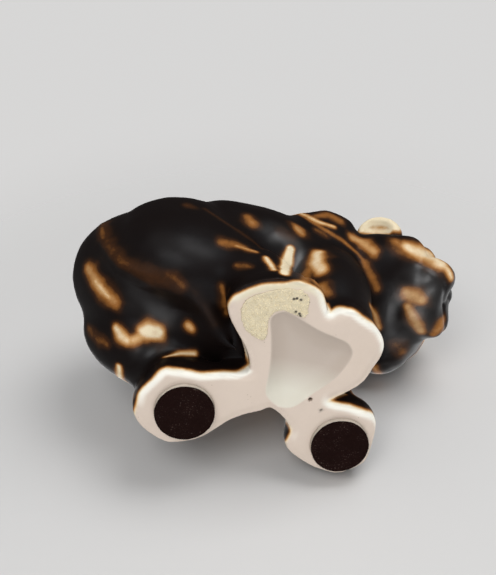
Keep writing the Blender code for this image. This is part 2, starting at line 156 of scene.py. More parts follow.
BODY_STREAKS = {
    "tail crest": Streak(0.37, 10.0, ((103, 224), (103, 234), (107, 245), (113, 253), (121, 261),
                                      (130, 266))),
    # The streaks named lit and the tail's bright turn are thin glaze with painted highlight where light falls
    "tail crest lit": Streak(0.46, 4.5, ((102, 228), (103, 238))),
    "tail over rump": Streak(0.34, 11.0, ((130, 266), (140, 271), (150, 275), (160, 279), (170, 281),
                                          (180, 286))),
    "tail bright turn": Streak(0.41, 8.0, ((168, 276), (176, 280), (182, 286))),
    "tail tip": Streak(0.19, 7.5, ((182, 287), (194, 292), (201, 301), (207, 312), (214, 324))),
    "buttock ridge": Streak(0.70, 10.0, ((88, 268), (94, 278), (102, 289), (110, 297), (115, 302))),
    "buttock ridge lit": Streak(0.86, 5.0, ((96, 281), (103, 290), (109, 297))),
    "hock hind lobe": Streak(0.92, 7.0, ((116, 328), (120, 335), (127, 340))),
    "hock fore lobe": Streak(1.08, 10.0, ((144, 330), (151, 331), (157, 333))),
    "hock join": Streak(0.80, 7.0, ((126, 340), (133, 340), (142, 336))),
    "thigh spot": Streak(0.82, 5.2, ((188, 325), (191, 328))),
    "shin spot": Streak(0.90, 4.8, ((166, 357), (180, 354), (194, 354))),
    "hock back": Streak(0.42, 7.0, ((88, 328), (96, 338), (107, 344))),
    "heel": Streak(0.98, 5.0, ((119, 366), (120, 377), (122, 388))),
    "heel foot": Streak(0.62, 5.0, ((122, 392), (125, 401))),
    "behind right foot": Streak(0.56, 6.0, ((222, 287), (225, 298), (226, 312))),
    "knee tongue": Streak(0.56, 8.0, ((222, 243), (232, 244), (243, 247))),
    "knee tongue lit": Streak(0.68, 4.5, ((236, 246), (246, 249), (256, 252))),
    "shin tongue": Streak(0.44, 5.0, ((236, 265), (245, 266), (251, 267))),
    "instep corner": Streak(0.95, 4.5, ((266, 258), (270, 264), (274, 270))),
    "flank spot": Streak(0.60, 8.0, ((248, 218), (253, 224))),
    "back spot": Streak(0.34, 6.0, ((186, 205), (192, 207))),
    "haunch crease": Streak(0.28, 4.0, ((205, 209), (220, 219), (235, 229), (250, 239), (262, 249))),
    "rib spot": Streak(0.70, 8.5, ((297, 228), (300, 232))),
    "rib haze": Streak(0.30, 10.0, ((280, 232), (292, 238))),
    "flank stripe": Streak(1.40, 5.5, ((290, 250), (287, 261), (284, 273))),
    "elbow patch": Streak(0.91, 10.0, ((318, 253), (316, 263), (321, 270))),
    "elbow patch back": Streak(0.60, 8.0, ((311, 266), (307, 275), (305, 283))),
    "elbow patch foot": Streak(0.64, 9.0, ((314, 281), (320, 287), (326, 292))),
    "shoulder ridge": Streak(0.56, 3.2, ((300, 215), (320, 227), (343, 241), (358, 254), (366, 264))),
    "shoulder edge": Streak(0.54, 6.0, ((364, 262), (371, 275), (377, 288))),
    "shoulder shade": Streak(0.42, 6.0, ((316, 230), (326, 236))),
    "withers crescent": Streak(0.84, 4.0, ((294, 211), (304, 215), (318, 222), (334, 227))),
    "nape fold": Streak(0.56, 8.0, ((318, 216), (328, 215), (340, 221))),
    "neck patch": Streak(0.74, 8.0, ((352, 238), (363, 243), (374, 252))),
    "fore rim streaks": Streak(0.72, 5.0, ((370, 306), (375, 316), (379, 328))),
    "front notch": Streak(0.62, 6.0, ((353, 388), (358, 394), (365, 398))),
}
HEAD_STREAKS = {
    "ear rim": Streak(1.20, 9.0, ((362, 226), (372, 221), (384, 221), (396, 226))),
    "ear base": Streak(1.10, 6.0, ((362, 230), (376, 231), (390, 231))),
    "cheek": Streak(0.58, 10.5, ((396, 242), (404, 249), (412, 256))),
    "brow ridge": Streak(0.94, 11.5, ((408, 248), (420, 253), (432, 258), (442, 264))),
    "brow ridge end": Streak(0.90, 6.0, ((442, 264), (448, 270), (451, 277))),
    "jaw patch": Streak(0.74, 8.5, ((406, 292), (414, 296), (421, 300))),
    "jaw streak": Streak(0.72, 7.0, ((408, 307), (414, 318), (421, 331))),
    "lip bump": Streak(0.62, 7.0, ((443, 320), (440, 327), (434, 334))),
    "cheek patch": Streak(0.42, 9.0, ((396, 345), (404, 353))),
    "cheek shade": Streak(0.36, 6.0, ((412, 357), (419, 352))),
    "throat ridge": Streak(0.66, 6.0, ((372, 363), (376, 370), (382, 377))),
}
# The longest step along a streak that still lies on one surface
LONGEST_STEP = 7.0 * MM
# Places where the glaze is painted dark: glaze pooled in hollows, with painted shade in those hollows
POOLS_AND_SHADE = {
    "hock pit": Streak(0.90, 7.0, ((130, 312), (134, 314))),
    "tail groove": Streak(0.50, 3.5, ((98, 246), (106, 258), (116, 270), (128, 277), (144, 285))),
    "ear cup": Streak(0.16, 6.0, ((374, 229), (382, 229))),
    "mouth corner": Streak(0.90, 8.0, ((408, 270), (412, 273))),
    "throat fold": Streak(0.80, 6.0, ((387, 366), (394, 372))),
}

# Places where it is glossiest
SHEENS = {
    "rump": Streak(0.22, 13.0, ((158, 240), (180, 250), (200, 256))),
    "thigh": Streak(0.40, 13.0, ((136, 292), (152, 305), (166, 316))),
    "hock": Streak(0.36, 8.0, ((136, 352), (152, 350), (168, 346))),
    "ribs": Streak(0.40, 8.0, ((268, 226), (284, 231))),
    "flank": Streak(1.00, 7.0, ((278, 236), (296, 244), (300, 262), (296, 276))),
    "muzzle side": Streak(1.00, 14.0, ((420, 274), (426, 286), (427, 298))),
    "jaw": Streak(0.90, 13.0, ((408, 292), (414, 310), (420, 328))),
    "neck": Streak(0.65, 9.0, ((391, 308), (391, 318), (392, 330))),
    "chin": Streak(0.55, 12.0, ((404, 336), (412, 344))),
}

# Where the white sole ends and the glaze begins, as the camera sees it, in pixels
WHITE_EDGE = (
    (250.5, 363), (247.3, 353.6), (242, 343), (236.6, 332), (231.7, 325), (228.6, 319.5), (227.7, 314),
    (228.6, 308), (231.5, 302), (236, 297), (242, 294), (249, 290.5), (259, 287), (268, 285.3),
    (277, 284.8), (286, 284.5), (293, 283), (299, 283), (306, 285), (313, 287.5), (319, 291),
    (322.5, 295), (324.2, 300), (326, 305.5), (328.6, 310.7), (330, 313.4), (333, 312), (337, 309.5),
    (342, 309), (347, 310), (352, 310.7), (356, 313), (361, 317), (367, 321), (371.5, 323.8), (376, 327),
    (380, 331), (383, 336.5), (386, 343), (386, 352), (381, 361), (375, 371), (368, 379), (358, 386),
    (346.5, 391.5), (333, 396.8), (327.4, 400.7), (335, 403.7), (343, 405), (350, 406.4), (358, 409.5),
    (366, 412), (371, 413.5), (378, 418), (382, 430), (378, 455), (366, 476), (340, 481), (315, 475),
    (298, 466), (285, 456), (283, 447), (287.6, 441), (290, 436.6), (292, 432), (290.7, 426),
    (286.8, 420.5), (281.5, 415), (276, 412), (268, 411), (260, 414), (248, 418), (236, 424), (222, 434),
    (202, 446), (180, 450), (156, 446), (141, 437), (137, 427), (135.2, 419), (135.6, 412), (137.4, 406),
    (138.8, 400.5), (139.6, 395.2), (142.3, 390.7), (146.8, 386.3), (153, 381), (157.5, 376), (161, 372),
    (166.4, 369.3), (173.6, 370.2), (182.5, 371), (191.4, 372.4), (200.4, 374.2), (209.3, 374.2),
    (222.7, 372.9), (236, 373.3), (243, 370.5), (248.5, 367),
)

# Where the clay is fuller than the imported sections, or slighter where negative, on the dog's right and left:
# by how much, over what reach, in millimetres, and where, in pixels
Swelling = namedtuple("Swelling", "rise reach line")
BROW_SWELLING = Swelling(2.4, 4.2, ((414, 242), (426, 247), (438, 255), (447, 264), (451, 273)))
RIGHT_SWELLINGS = {
    "back": Swelling(1.3, 6.0, ((194, 203), (208, 204), (224, 206))),
    "rump": Swelling(1.1, 5.0, ((140, 208), (152, 204), (164, 201))),
    "nape": Swelling(1.3, 3.5, ((328, 214), (338, 217), (347, 222))),
    "lip": Swelling(0.8, 3.2, ((446, 318), (444, 326), (437, 333))),
    "chin": Swelling(-3.0, 8.0, ((428, 356), (418, 364))),
    "brow": BROW_SWELLING,
}
LEFT_SWELLINGS = {"brow": BROW_SWELLING._replace(rise=0.4)}

# Small dark specks in the dried glue and on the sole, in pixels
GLUE_SPECKS = ((294, 299), (297, 298.5), (301, 300), (296, 312), (299.5, 314), (300.5, 316))
SOLE_SPECK = (321, 410)

# Outlines on the sole, in millimetres in the clay's frame
HOLLOW_OUTLINE = ((-4.9, -13.0), (-4.0, -14.9), (-2.0, -16.0), (0.8, -15.5), (4.3, -14.3), (8.5, -12.9),
                  (13.1, -12.0), (16.0, -11.3), (17.8, -9.8), (18.5, -7.9), (17.9, -4.7), (16.4, -0.9),
                  (14.3, 2.2), (12.0, 5.0), (10.2, 7.7), (8.4, 9.8), (6.3, 10.8), (3.5, 10.5), (0.9, 8.9),
                  (-0.4, 6.8), (-1.0, 1.7), (-2.0, -3.5), (-3.4, -8.4))
RESIDUE_OUTLINE = ((-12.3, -12.4), (-12.8, -15.1), (-11.9, -17.3), (-10.1, -18.9), (-7.7, -20.4),
                   (-5.0, -21.6), (-1.9, -22.4), (0.7, -22.4), (2.6, -21.1), (3.3, -18.6), (3.3, -15.8),
                   (0.1, -15.9), (-2.4, -16.4), (-4.4, -15.4), (-5.4, -13.3), (-5.1, -10.9), (-4.6, -9.0),
                   (-5.2, -7.3), (-7.4, -7.6), (-9.8, -8.7), (-11.3, -10.3))
HOLLOW_MIDDLE = clay_spot(6.0, -2.0)
VENT_PLACE = clay_spot(11.9, 7.0)
# The sole in millimetres: how far its rim rolls up and in, its lumps, and its hollow's depth and slope
RIM_ROLL = 0.8
RIM_REACH = 2.4
SOLE_LUMP = 0.05
SOLE_LUMP_SIZE = 5.0
DISH_DEPTH = 1.75
DISH_SLOPE = 6.5
DISH_CURVE = 2.4
VENT_DEPTH = 1.6

# Features of the face, in the head's frame in millimetres. Those at FACE_FRONT are cast back onto the face.
FACE_FRONT = 40.0
EAR_MIDDLES = ((2.0, 17.5, 10.0), (2.0, -17.5, 10.0))
EYE_MIDDLES = ((FACE_FRONT, 8.2, 1.8), (FACE_FRONT, -8.2, 1.8))
BROW_LINES = (((14.5, -14.6, 3.8), (19.1, -10.2, 4.8), (21.5, -6.2, 5.4)),
              ((14.5, 12.6, 4.2), (19.1, 8.2, 5.2), (21.5, 4.2, 5.6)))
NOSE_MIDDLE = (FACE_FRONT, -1.5, -1.0)
NOSTRILS = ((FACE_FRONT, 0.6, -2.0), (FACE_FRONT, -3.6, -2.0))
LIP_LINES = (((22.0, -1.5, -4.4), (21.0, -1.5, -7.0), (19.5, -1.5, -9.0)),
             ((19.5, -1.5, -9.0), (20.0, 4.0, -10.4), (16.5, 9.0, -9.0), (12.5, 11.5, -6.5)),
             ((19.5, -1.5, -9.0), (20.5, -6.0, -11.0), (18.5, -12.0, -9.5), (14.0, -14.5, -6.5)))
FACE_MIDDLE = (12.0, 0.0, 0.0)
FACE_EDGE = (16.0, 24.0)
FACE_PASSES = 7
# An eye is a dome in a shallow ring, and the nose is a low button
EYE_HALF = 2.0
EYE_RISE = 0.75
EYE_RING = 2.4
EYE_RING_WIDTH = 0.55
EYE_RING_DEPTH = 0.35
EYE_EDGE = 5.0
NOSE_RISE = 0.6
NOSE_EDGE = (2.2, 3.9)
# How far the eyes and the nose are darkened
DARK_FEATURES = {EYE_MIDDLES[0]: 2.1, EYE_MIDDLES[1]: 2.1, NOSE_MIDDLE: 4.0}

# How features are pressed into the clay: reach and depth in millimetres, negative where they are raised
Mark = namedtuple("Mark", "reach depth")
BROW_MARK = Mark(3.0, -1.7)
NOSTRIL_MARK = Mark(0.75, 0.8)
LIP_MARK = Mark(0.6, 0.55)
TOE_MARK = Mark(0.9, 0.7)
# The middle of each paw in the clay's frame, and the directions in which its toes part, in degrees
PAWS = (((-4.5, -16.5), (-52.0, -22.0)), ((17.0, -10.5), (-38.0, -6.0)), ((23.5, 18.3), (-20.0, 16.0)),
        ((-19.4, 17.2), (2.0, 34.0)))
PAW_REACH = 25.0
TOE_HEIGHTS = np.arange(4.0, 8.6, 0.4)

# How far the felt's face stays off the floor, and how far the crust and the glue beds reach into the sole
FELT_LIFT = 0.03 * MM
CRUST_HOLD = 0.06 * MM
BED_HOLD = 0.05 * MM
# The size of the crust's mesh, and a full turn of a scattered shape
CRUST_GRAIN = 0.2 * MM
FULL_TURN = 6.283

# Lamps around the object: where they hang and how wide they are, in metres
Lamp = namedtuple("Lamp", "place size")
LAMPS = {
    "below": Lamp((0.06, 0.16, -0.48), 0.34),
    "behind": Lamp((-0.26, -0.30, -0.34), 0.26),
    "beside": Lamp((0.02, -0.50, -0.02), 0.30),
    "above": Lamp((0.12, 0.46, 0.46), 0.60),
    "ahead": Lamp((0.46, 0.10, 0.20), 0.40),
}
# The floor under the side that the dog lies on in the photograph, and how far each floor is solid and reaches
LYING_UP = Vector((-0.28, -0.93, -0.20)).normalized()
LYING_REACH = (0.06, 0.20)
STANDING_REACH = (0.12, 0.45)


def add_to_scene(name, data):
    """A new object at the origin for a mesh, a curve, a lamp or a camera."""
    piece = bpy.data.objects.new(name, data)
    bpy.context.scene.collection.objects.link(piece)
    return piece


def mesh_of(shape, name):
    """A mesh made from a bmesh, which is freed."""
    mesh = bpy.data.meshes.new(name)
    shape.to_mesh(mesh)
    shape.free()
    return mesh


def settle(piece):
    """Work a piece's modifiers into its mesh and remove them."""
    bpy.context.view_layer.update()
    seen = piece.evaluated_get(bpy.context.evaluated_depsgraph_get())
    mesh = bpy.data.meshes.new_from_object(seen)
    piece.modifiers.clear()
    old = piece.data
    piece.data = mesh
    if isinstance(old, bpy.types.Mesh):
        bpy.data.meshes.remove(old)
    return piece


def make_even(piece, grain):
    """Give a piece one closed skin of even faces."""
    remesh = piece.modifiers.new("even skin", "REMESH")
    remesh.mode = "VOXEL"
    remesh.voxel_size = grain
    return settle(piece)


def shaded(colour, factor):
    """A colour made darker or lighter."""
    return [min(1.0, part * factor) for part in colour]


def step(low, high, values):
    """A soft step from 0 at low to 1 at high."""
    t = np.clip((values - low) / (high - low), 0.0, 1.0)
    return t * t * (3.0 - 2.0 * t)


def ripples(places, size, seed=0.0):
    """Smooth noise from about -1 to 1 at each place, with lumps of the given size."""
    shift = Vector((seed * 7.3, seed * 3.1, seed * 5.7))
    return np.array([noise.noise(Vector(place) / size + shift) for place in places])


def along(line, spacing):
    """Points spaced along a broken line."""
    points = []
    for start, end in zip(line, line[1:]):
        start, end = np.array(start, float), np.array(end, float)
        count = max(1, int(np.ceil(np.linalg.norm(end - start) / spacing)))
        points += [start + (end - start) * index / count for index in range(count)]
    points.append(np.array(line[-1], float))
    return np.array(points)


def rounded_loop(points, steps=4):
    """A closed rounded line through flat points."""
    points = np.array(points, float)
    before, after, beyond = (np.roll(points, turn, axis=0) for turn in (1, -1, -2))
    loop = []
    for index in range(len(points)):
        a, b, c, d = before[index], points[index], after[index], beyond[index]
        for t in (number / steps for number in range(steps)):
            loop.append(0.5 * (2 * b + (c - a) * t + (2 * a - 5 * b + 4 * c - d) * t ** 2
                               + (3 * b - a - 3 * c + d) * t ** 3))
    return np.array(loop)


def sole_loop(outline, steps=4):
    """A closed rounded line on the sole through points in the clay's frame."""
    return rounded_loop(outline, steps) * MM + np.array(CLAY_DATUM.xy)


def depth_inside(loop, points):
    """How far flat points lie inside a closed line, negative outside."""
    inside = np.zeros(len(points), bool)
    nearest = np.full(len(points), 1e9)
    for start, end in zip(loop, np.roll(loop, -1, axis=0)):
        edge = end - start
        t = np.clip(((points - start) @ edge) / (edge @ edge), 0.0, 1.0)
        nearest = np.minimum(nearest, np.linalg.norm(points - start - t[:, None] * edge, axis=1))
        crosses = (start[1] > points[:, 1]) != (end[1] > points[:, 1])
        rise = edge[1] if abs(edge[1]) > 1e-12 else 1e-12
        inside ^= crosses & (points[:, 0] < start[0] + edge[0] * (points[:, 1] - start[1]) / rise)
    return np.where(inside, nearest, -nearest)


class Wire:
    """An output socket of a node tree, so that shader maths can be written as plain expressions."""

    def __init__(self, tree, socket):
        self.tree = tree
        self.socket = socket

    def maths(self, operation, *values):
        return self.tree.node("ShaderNodeMath", {"operation": operation}, dict(enumerate(values)))

    def __add__(self, other):
        return self.maths("ADD", self, other)

    def __sub__(self, other):
        return self.maths("SUBTRACT", self, other)

    def __rsub__(self, other):
        return self.maths("SUBTRACT", other, self)

    def __mul__(self, other):
        return self.maths("MULTIPLY", self, other)

    def __truediv__(self, other):
        return self.maths("DIVIDE", self, other)

    __radd__ = __add__
    __rmul__ = __mul__

    def largest(self, other):
        return self.maths("MAXIMUM", self, other)

    def held(self):
        """The value kept between 0 and 1."""
        return self.tree.node("ShaderNodeClamp", {}, {"Value": self})


class Tree:
    """A node tree and one way to add any node to it."""

    def __init__(self, tree):
        self.tree = tree

    def plug(self, socket, value):
        if isinstance(value, Wire):
            self.tree.links.new(value.socket, socket)
        else:
            socket.default_value = value

    def node(self, kind, settings=None, inputs=None, output=0):
        """Add a node with its settings, then the values or links of its sockets, and return one output."""
        made = self.tree.nodes.new(kind)
        for key, value in (settings or {}).items():
            if key == "stops":
                self.set_stops(made.color_ramp, value)
            else:
                setattr(made, key, value)
        for key, value in (inputs or {}).items():
            self.plug(made.inputs[key], value)
        return Wire(self, made.outputs[output]) if made.outputs else made

    @staticmethod
    def set_stops(ramp, stops):
        while len(ramp.elements) < len(stops):
            ramp.elements.new(1.0)
        for element, (place, colour) in zip(ramp.elements, stops):
            element.position = place
            element.color = (*colour, 1.0)


class Finish(Tree):
    """A material with one shader that the pieces of the object use."""

    def __init__(self, name):
        self.material = bpy.data.materials.new(name)
        self.material.use_nodes = True
        super().__init__(self.material.node_tree)
        self.tree.nodes.clear()
        self.shader = self.tree.nodes.new("ShaderNodeBsdfPrincipled")
        self.node("ShaderNodeOutputMaterial", {}, {"Surface": Wire(self, self.shader.outputs[0])})
        self.place = self.node("ShaderNodeTexCoord", {}, {}, "Object")

    def set(self, **sockets):
        for key, value in sockets.items():
            self.plug(self.shader.inputs[key.replace("_", " ")], value)
        return self.material

    def painted(self, name):
        """A value that was painted on the mesh."""
        return self.node("ShaderNodeAttribute", {"attribute_name": name}, {}, "Fac")

    def mottle(self, per_metre, detail=3.0, roughness=0.5):
        """Noise from 0 to 1 at a number of lumps in each metre."""
        return self.node("ShaderNodeTexNoise", {}, {
            "Vector": self.place, "Scale": per_metre, "Detail": detail, "Roughness": roughness})

    def ramp(self, value, *stops):
        return self.node("ShaderNodeValToRGB", {"stops": stops}, {"Fac": value})

    def blend(self, share, first, second):
        return self.node("ShaderNodeMix", {"data_type": "RGBA"},
                         {0: share, 6: self.colour(first), 7: self.colour(second)}, 2)

    @staticmethod
    def colour(value):
        return value if isinstance(value, Wire) else (*value, 1.0)

    def relief(self, height, depth, strength=1.0):
        """A normal raised by a height from 0 to 1 over a depth in metres."""
        return self.node("ShaderNodeBump", {}, {"Strength": strength, "Distance": depth, "Height": height})


class Skin:
    """A mesh as arrays: its places, and each place's neighbours."""

    def __init__(self, mesh):
        self.mesh = mesh
        count = len(mesh.vertices)
        self.places = np.empty(count * 3)
        mesh.vertices.foreach_get("co", self.places)
        self.places = self.places.reshape(-1, 3)
        edges = np.empty(len(mesh.edges) * 2, np.int32)
        mesh.edges.foreach_get("vertices", edges)
        self.ends = edges.reshape(-1, 2).T
        self.neighbours = np.bincount(self.ends.ravel(), minlength=count)

    def around(self, values):
        """The mean of each place's neighbours."""
        first, second = self.ends
        total = [np.bincount(first, weights=column[second], minlength=len(column))
                 + np.bincount(second, weights=column[first], minlength=len(column)) for column in values.T]
        return np.array(total).T / self.neighbours[:, None]

    def soften(self, passes, weights):
        for _ in range(passes):
            self.places += 0.5 * weights[:, None] * (self.around(self.places) - self.places)

    def fill_valleys(self, passes, weights):
        """Build up the places that lie lower than those around them, and leave the crests alone."""
        for number in range(passes):
            if number % 6 == 0:
                normals = self.normals()
            rise = np.einsum("ij,ij->i", self.around(self.places) - self.places, normals)
            self.places += normals * (0.5 * weights * np.maximum(rise, 0.0))[:, None]

    def normals(self):
        self.write()
        normals = np.empty(len(self.mesh.vertices) * 3)
        self.mesh.vertices.foreach_get("normal", normals)
        return normals.reshape(-1, 3)

    def gaps_to(self, place):
        """How far each place lies from one place, in millimetres."""
        return np.linalg.norm(self.places - np.array(place), axis=1) / MM

    def gaps_across(self, places):
        """How far each place lies from the nearest of some places, seen from above, in millimetres."""
        gaps = [np.linalg.norm(self.places[:, :2] - np.array(place[:2]), axis=1) for place in places]
        return np.min(gaps, axis=0) / MM

    def bulge(self, passes, normals):
        """How far each place stands out from its wider surroundings, in metres."""
        return np.einsum("ij,ij->i", self.places - self.calmed(self.places, passes), normals)

    def calmed(self, values, passes):
        """Values of the places, each drawn towards those around it."""
        calm = values.copy()
        for _ in range(passes):
            calm += 0.5 * (self.around(calm) - calm)
        return calm

    def write(self):
        self.mesh.vertices.foreach_set("co", self.places.ravel())
        self.mesh.update()

    def paint(self, name, values):
        attribute = self.mesh.attributes.new(name, "FLOAT", "POINT")
        attribute.data.foreach_set("value", np.clip(values, 0.0, 1.0).astype(np.float32))

    def tree(self):
        self.write()
        shape = bmesh.new()
        shape.from_mesh(self.mesh)
        found = BVHTree.FromBMesh(shape)
        shape.free()
        return found


def length_setting(name, description, millimetres):
    return FloatProperty(name=name, description=description, default=millimetres * MM, unit="LENGTH",
                         precision=5)


def power_setting(name, description, watts):
    return FloatProperty(name=name, description=description, default=watts, unit="POWER")


def number_setting(name, description, value):
    return FloatProperty(name=name, description=description, default=value)


def count_setting(name, description, value):
    return IntProperty(name=name, description=description, default=value, min=0)


def colour_setting(name, description, colour):
    return FloatVectorProperty(name=name, description=description, subtype="COLOR", size=3, default=colour)


class SkinSettings(bpy.types.PropertyGroup):
    """The glazed clay."""
    grain: length_setting("Grain", "Size of the skin's mesh", 0.585)
    swell: length_setting("Swell", "Growth of each section that closes its luting gap", 0.2)
    soft_passes: count_setting("Soft passes", "How often the modelled clay is softened", 9)
    foot_passes: count_setting("Foot passes", "How often the step above the paws is softened", 40)
    fill_passes: count_setting("Fill passes", "How far the folds between the forms are filled", 150)
    rim_height: length_setting("Rim height", "Height of the thin glaze over the sole", 1.3)
    vent_width: length_setting("Vent width", "Width of the pinhole in the sole", 1.1)
    dark: colour_setting("Dark glaze", "Colour of the thick glaze", (0.0040, 0.0024, 0.0021))
    umber: colour_setting("Umber glaze", "Colour where the glaze starts to thin", (0.040, 0.015, 0.005))
    amber: colour_setting("Amber glaze", "Colour of thin glaze", (0.270, 0.105, 0.024))
    tan: colour_setting("Tan glaze", "Colour of very thin glaze", (0.560, 0.320, 0.130))
    cream: colour_setting("Cream glaze", "Colour where the clay shows through", (0.860, 0.740, 0.520))
    bisque: colour_setting("Bisque", "Colour of the bare sole", (0.645, 0.545, 0.465))
    # Darker than the sole, as painted shade in the hollow
    hollow: colour_setting("Hollow", "Colour of the clear glaze in the sole's hollow", (0.505, 0.422, 0.357))
    # Paler as painted light where the hollow's low end faces the light
    hollow_painted_light_end: colour_setting("Hollow end", "Colour of the hollow's low end", (0.680, 0.640, 0.545))
    # Clear glaze on the rim, with painted highlight: it is laid only on the side that faces the light
    rim: colour_setting("Rim", "Colour of the clear glaze on the sole's rim", (0.900, 0.880, 0.800))
    stain: colour_setting("Stain", "Colour of the rim beside the dried glue", (0.620, 0.530, 0.340))


class FeltSettings(bpy.types.PropertyGroup):
    """The felt pads."""
    thickness: length_setting("Thickness", "Height of the pad's edge", 1.15)
    trim: length_setting("Trim", "Room left at the edge for loose fibres", 0.2)
    fibre_length: length_setting("Fibre length", "Length of a loose fibre", 0.45)
    fibre_density: number_setting("Fibre density", "Loose fibres on a square metre", 6.0e6)
    seed: count_setting("Seed", "Picks the places of the fibres", 7)
    colour: colour_setting("Colour", "Colour of the felt", (0.0085, 0.0036, 0.0030))
    lint: colour_setting("Lint", "Colour of the odd pale fibre", (0.110, 0.080, 0.070))


class GlueSettings(bpy.types.PropertyGroup):
    """The dried glue."""
    crust: length_setting("Crust", "Thickness of the smear on the sole", 0.42)
    grain_size: length_setting("Grain size", "Radius of a large grain", 0.26)
    grain_density: number_setting("Grain density", "Grains on a square metre", 7.0e6)
    seed: count_setting("Seed", "Picks the places of the grains", 3)
    colour: colour_setting("Colour", "Colour of the dried glue", (0.830, 0.725, 0.515))
    bed_colour: colour_setting("Bed colour", "Colour of the glue under the pads", (0.660, 0.580, 0.490))
    bed_trim: length_setting("Bed trim", "How far the glue stays inside the pad's edge", 0.3)
    bed_level: length_setting("Bed level", "Height of the glue over the pad's face", 1.1)
    dirt: colour_setting("Dirt", "Colour of the specks in it", (0.060, 0.050, 0.040))


class StageSettings(bpy.types.PropertyGroup):
    """The floor, the world and the lamps."""
    pale: colour_setting("Background", "Colour of the world behind the object", (0.680, 0.675, 0.670))
    ceiling: colour_setting("Ceiling", "Colour of the dim ceiling that reflections show",
                            (0.120, 0.110, 0.110))
    floor: colour_setting("Floor", "Colour of the floor", (0.680, 0.675, 0.670))
    ambient: number_setting("Ambient", "Strength of the world's own light", 0.35)
    below: power_setting("Lamp below", "Power of the lamp that faces the sole", 1.25)
    behind: power_setting("Lamp behind", "Power of the lamp at the dog's right back, under it", 1.00)
    beside: power_setting("Lamp beside", "Power of the lamp at the dog's right", 1.30)
    above: power_setting("Lamp above", "Power of the lamp over the dog's left side", 2.20)
    ahead: power_setting("Lamp ahead", "Power of the lamp in front of the dog", 1.00)


class FigurineSettings(bpy.types.PropertyGroup):
    """All the figurine's settings."""
    skin: PointerProperty(type=SkinSettings)
    felt: PointerProperty(type=FeltSettings)
    glue: PointerProperty(type=GlueSettings)
    stage: PointerProperty(type=StageSettings)


# Corners closer than this are welded, and sections swell fully above the second height, in millimetres
WELD_GAP = 0.002 * MM
SWELL_FADE = (2.5, 5.0)
# The plug that closes the drain behind the vent, and the finer patch of skin round the vent
PLUG_HALF = 4.0 * MM
PLUG_LENGTH = 8.6 * MM
PLUG_RISE = 6.0 * MM
VENT_PATCH = 1.6 * MM
VENT_BAND = 1.0 * MM


def gathered_clay(swell):
    """The CAD sections, swollen until their luting gaps close, and gathered with a plug in the vent."""
    shape = bmesh.new()
    for name in CLAY_NODES:
        section = bmesh.new()
        section.from_mesh(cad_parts[name].data)
        bmesh.ops.remove_doubles(section, verts=section.verts, dist=WELD_GAP)
        section.normal_update()
        for vertex in section.verts:
            height = (vertex.co.z - SOLE_LEVEL) / MM
            vertex.co += vertex.normal * swell * float(step(*SWELL_FADE, np.array(height)))
        mesh = mesh_of(section, name + "_swollen")
        shape.from_mesh(mesh)
        bpy.data.meshes.remove(mesh)
    plug_place = Matrix.Translation((VENT_PLACE.x, VENT_PLACE.y, SOLE_LEVEL + PLUG_RISE))
    bmesh.ops.create_cone(shape, cap_ends=True, segments=16, radius1=PLUG_HALF, radius2=PLUG_HALF,
                          depth=PLUG_LENGTH, matrix=plug_place)
    return mesh_of(shape, "glazed_body")


def keep_outer_skin(mesh):
    """Remove every shell of a mesh but the largest, and make the skin finer round the vent."""
    shape = bmesh.new()
    shape.from_mesh(mesh)
    unseen = set(shape.verts)
    shells = []
    while unseen:
        start = unseen.pop()
        shell = [start]
        for vertex in shell:
            for edge in vertex.link_edges:
                other = edge.other_vert(vertex)
                if other in unseen:
                    unseen.remove(other)
                    shell.append(other)
        shells.append(shell)
    shells.sort(key=len)
    for shell in shells[:-1]:
        bmesh.ops.delete(shape, geom=shell, context="VERTS")
    near_vent = [edge for edge in shape.edges
                 if all(abs(end.co.z - SOLE_LEVEL) < VENT_BAND
                        and (end.co.xy - VENT_PLACE.xy).length < VENT_PATCH for end in edge.verts)]
    bmesh.ops.subdivide_edges(shape, edges=near_vent, cuts=3, use_grid_fill=True)
    bmesh.ops.triangulate(shape, faces=[face for face in shape.faces if len(face.verts) > 4])
    shape.to_mesh(mesh)
    shape.free()


def press(skin, normals, line, mark):
    """Press a mark into the skin along a line of places."""
    line = np.array(line, float)
    reach = mark.reach * MM
    low, high = line.min(0) - reach * 3, line.max(0) + reach * 3
    near = np.nonzero(((skin.places > low) & (skin.places < high)).all(1))[0]
    gap = np.linalg.norm(skin.places[near][:, None] - line[None], axis=2).min(1)
    skin.places[near] -= normals[near] * (mark.depth * MM * np.exp(-(gap / reach) ** 2))[:, None]


def on_head(surface, line, spacing):
    """The places on the skin nearest to a line in the head's frame."""
    return [surface.find_nearest(head_spot(*spot))[0] for spot in along(line, spacing)]


def on_face(surface, middle):
    """The place on the face behind a spot in front of it."""
    return surface.ray_cast(head_spot(*middle), LOOK_BACK)[0]


def swell_clay(skin):
    """Raise the brows and the places where the photograph shows fuller clay, and smooth the face."""
    surface = skin.tree()
    normals = skin.normals()
    for line in BROW_LINES:
        press(skin, normals, on_head(surface, line, 0.6), BROW_MARK)
    for swellings, mirror in ((RIGHT_SWELLINGS, None), (LEFT_SWELLINGS, HEAD_MIRROR)):
        for swelling in swellings.values():
            spots = streak_spots(surface, swelling.line, mirror)[0]
            press(skin, normals, spots, Mark(swelling.reach, -swelling.rise))
    skin.soften(FACE_PASSES, 1.0 - step(*FACE_EDGE, skin.gaps_to(head_spot(*FACE_MIDDLE))))


def toe_line(surface, paw, turn):
    """The places up the side of a paw where two toes part."""
    outwards = Vector((math.cos(turn), math.sin(turn), 0.0))
    starts = [paw + outwards * PAW_REACH * MM + Vector((0, 0, height * MM)) for height in TOE_HEIGHTS]
    hits = [surface.ray_cast(start, -outwards)[0] for start in starts]
    return [hit for hit in hits if hit is not None]


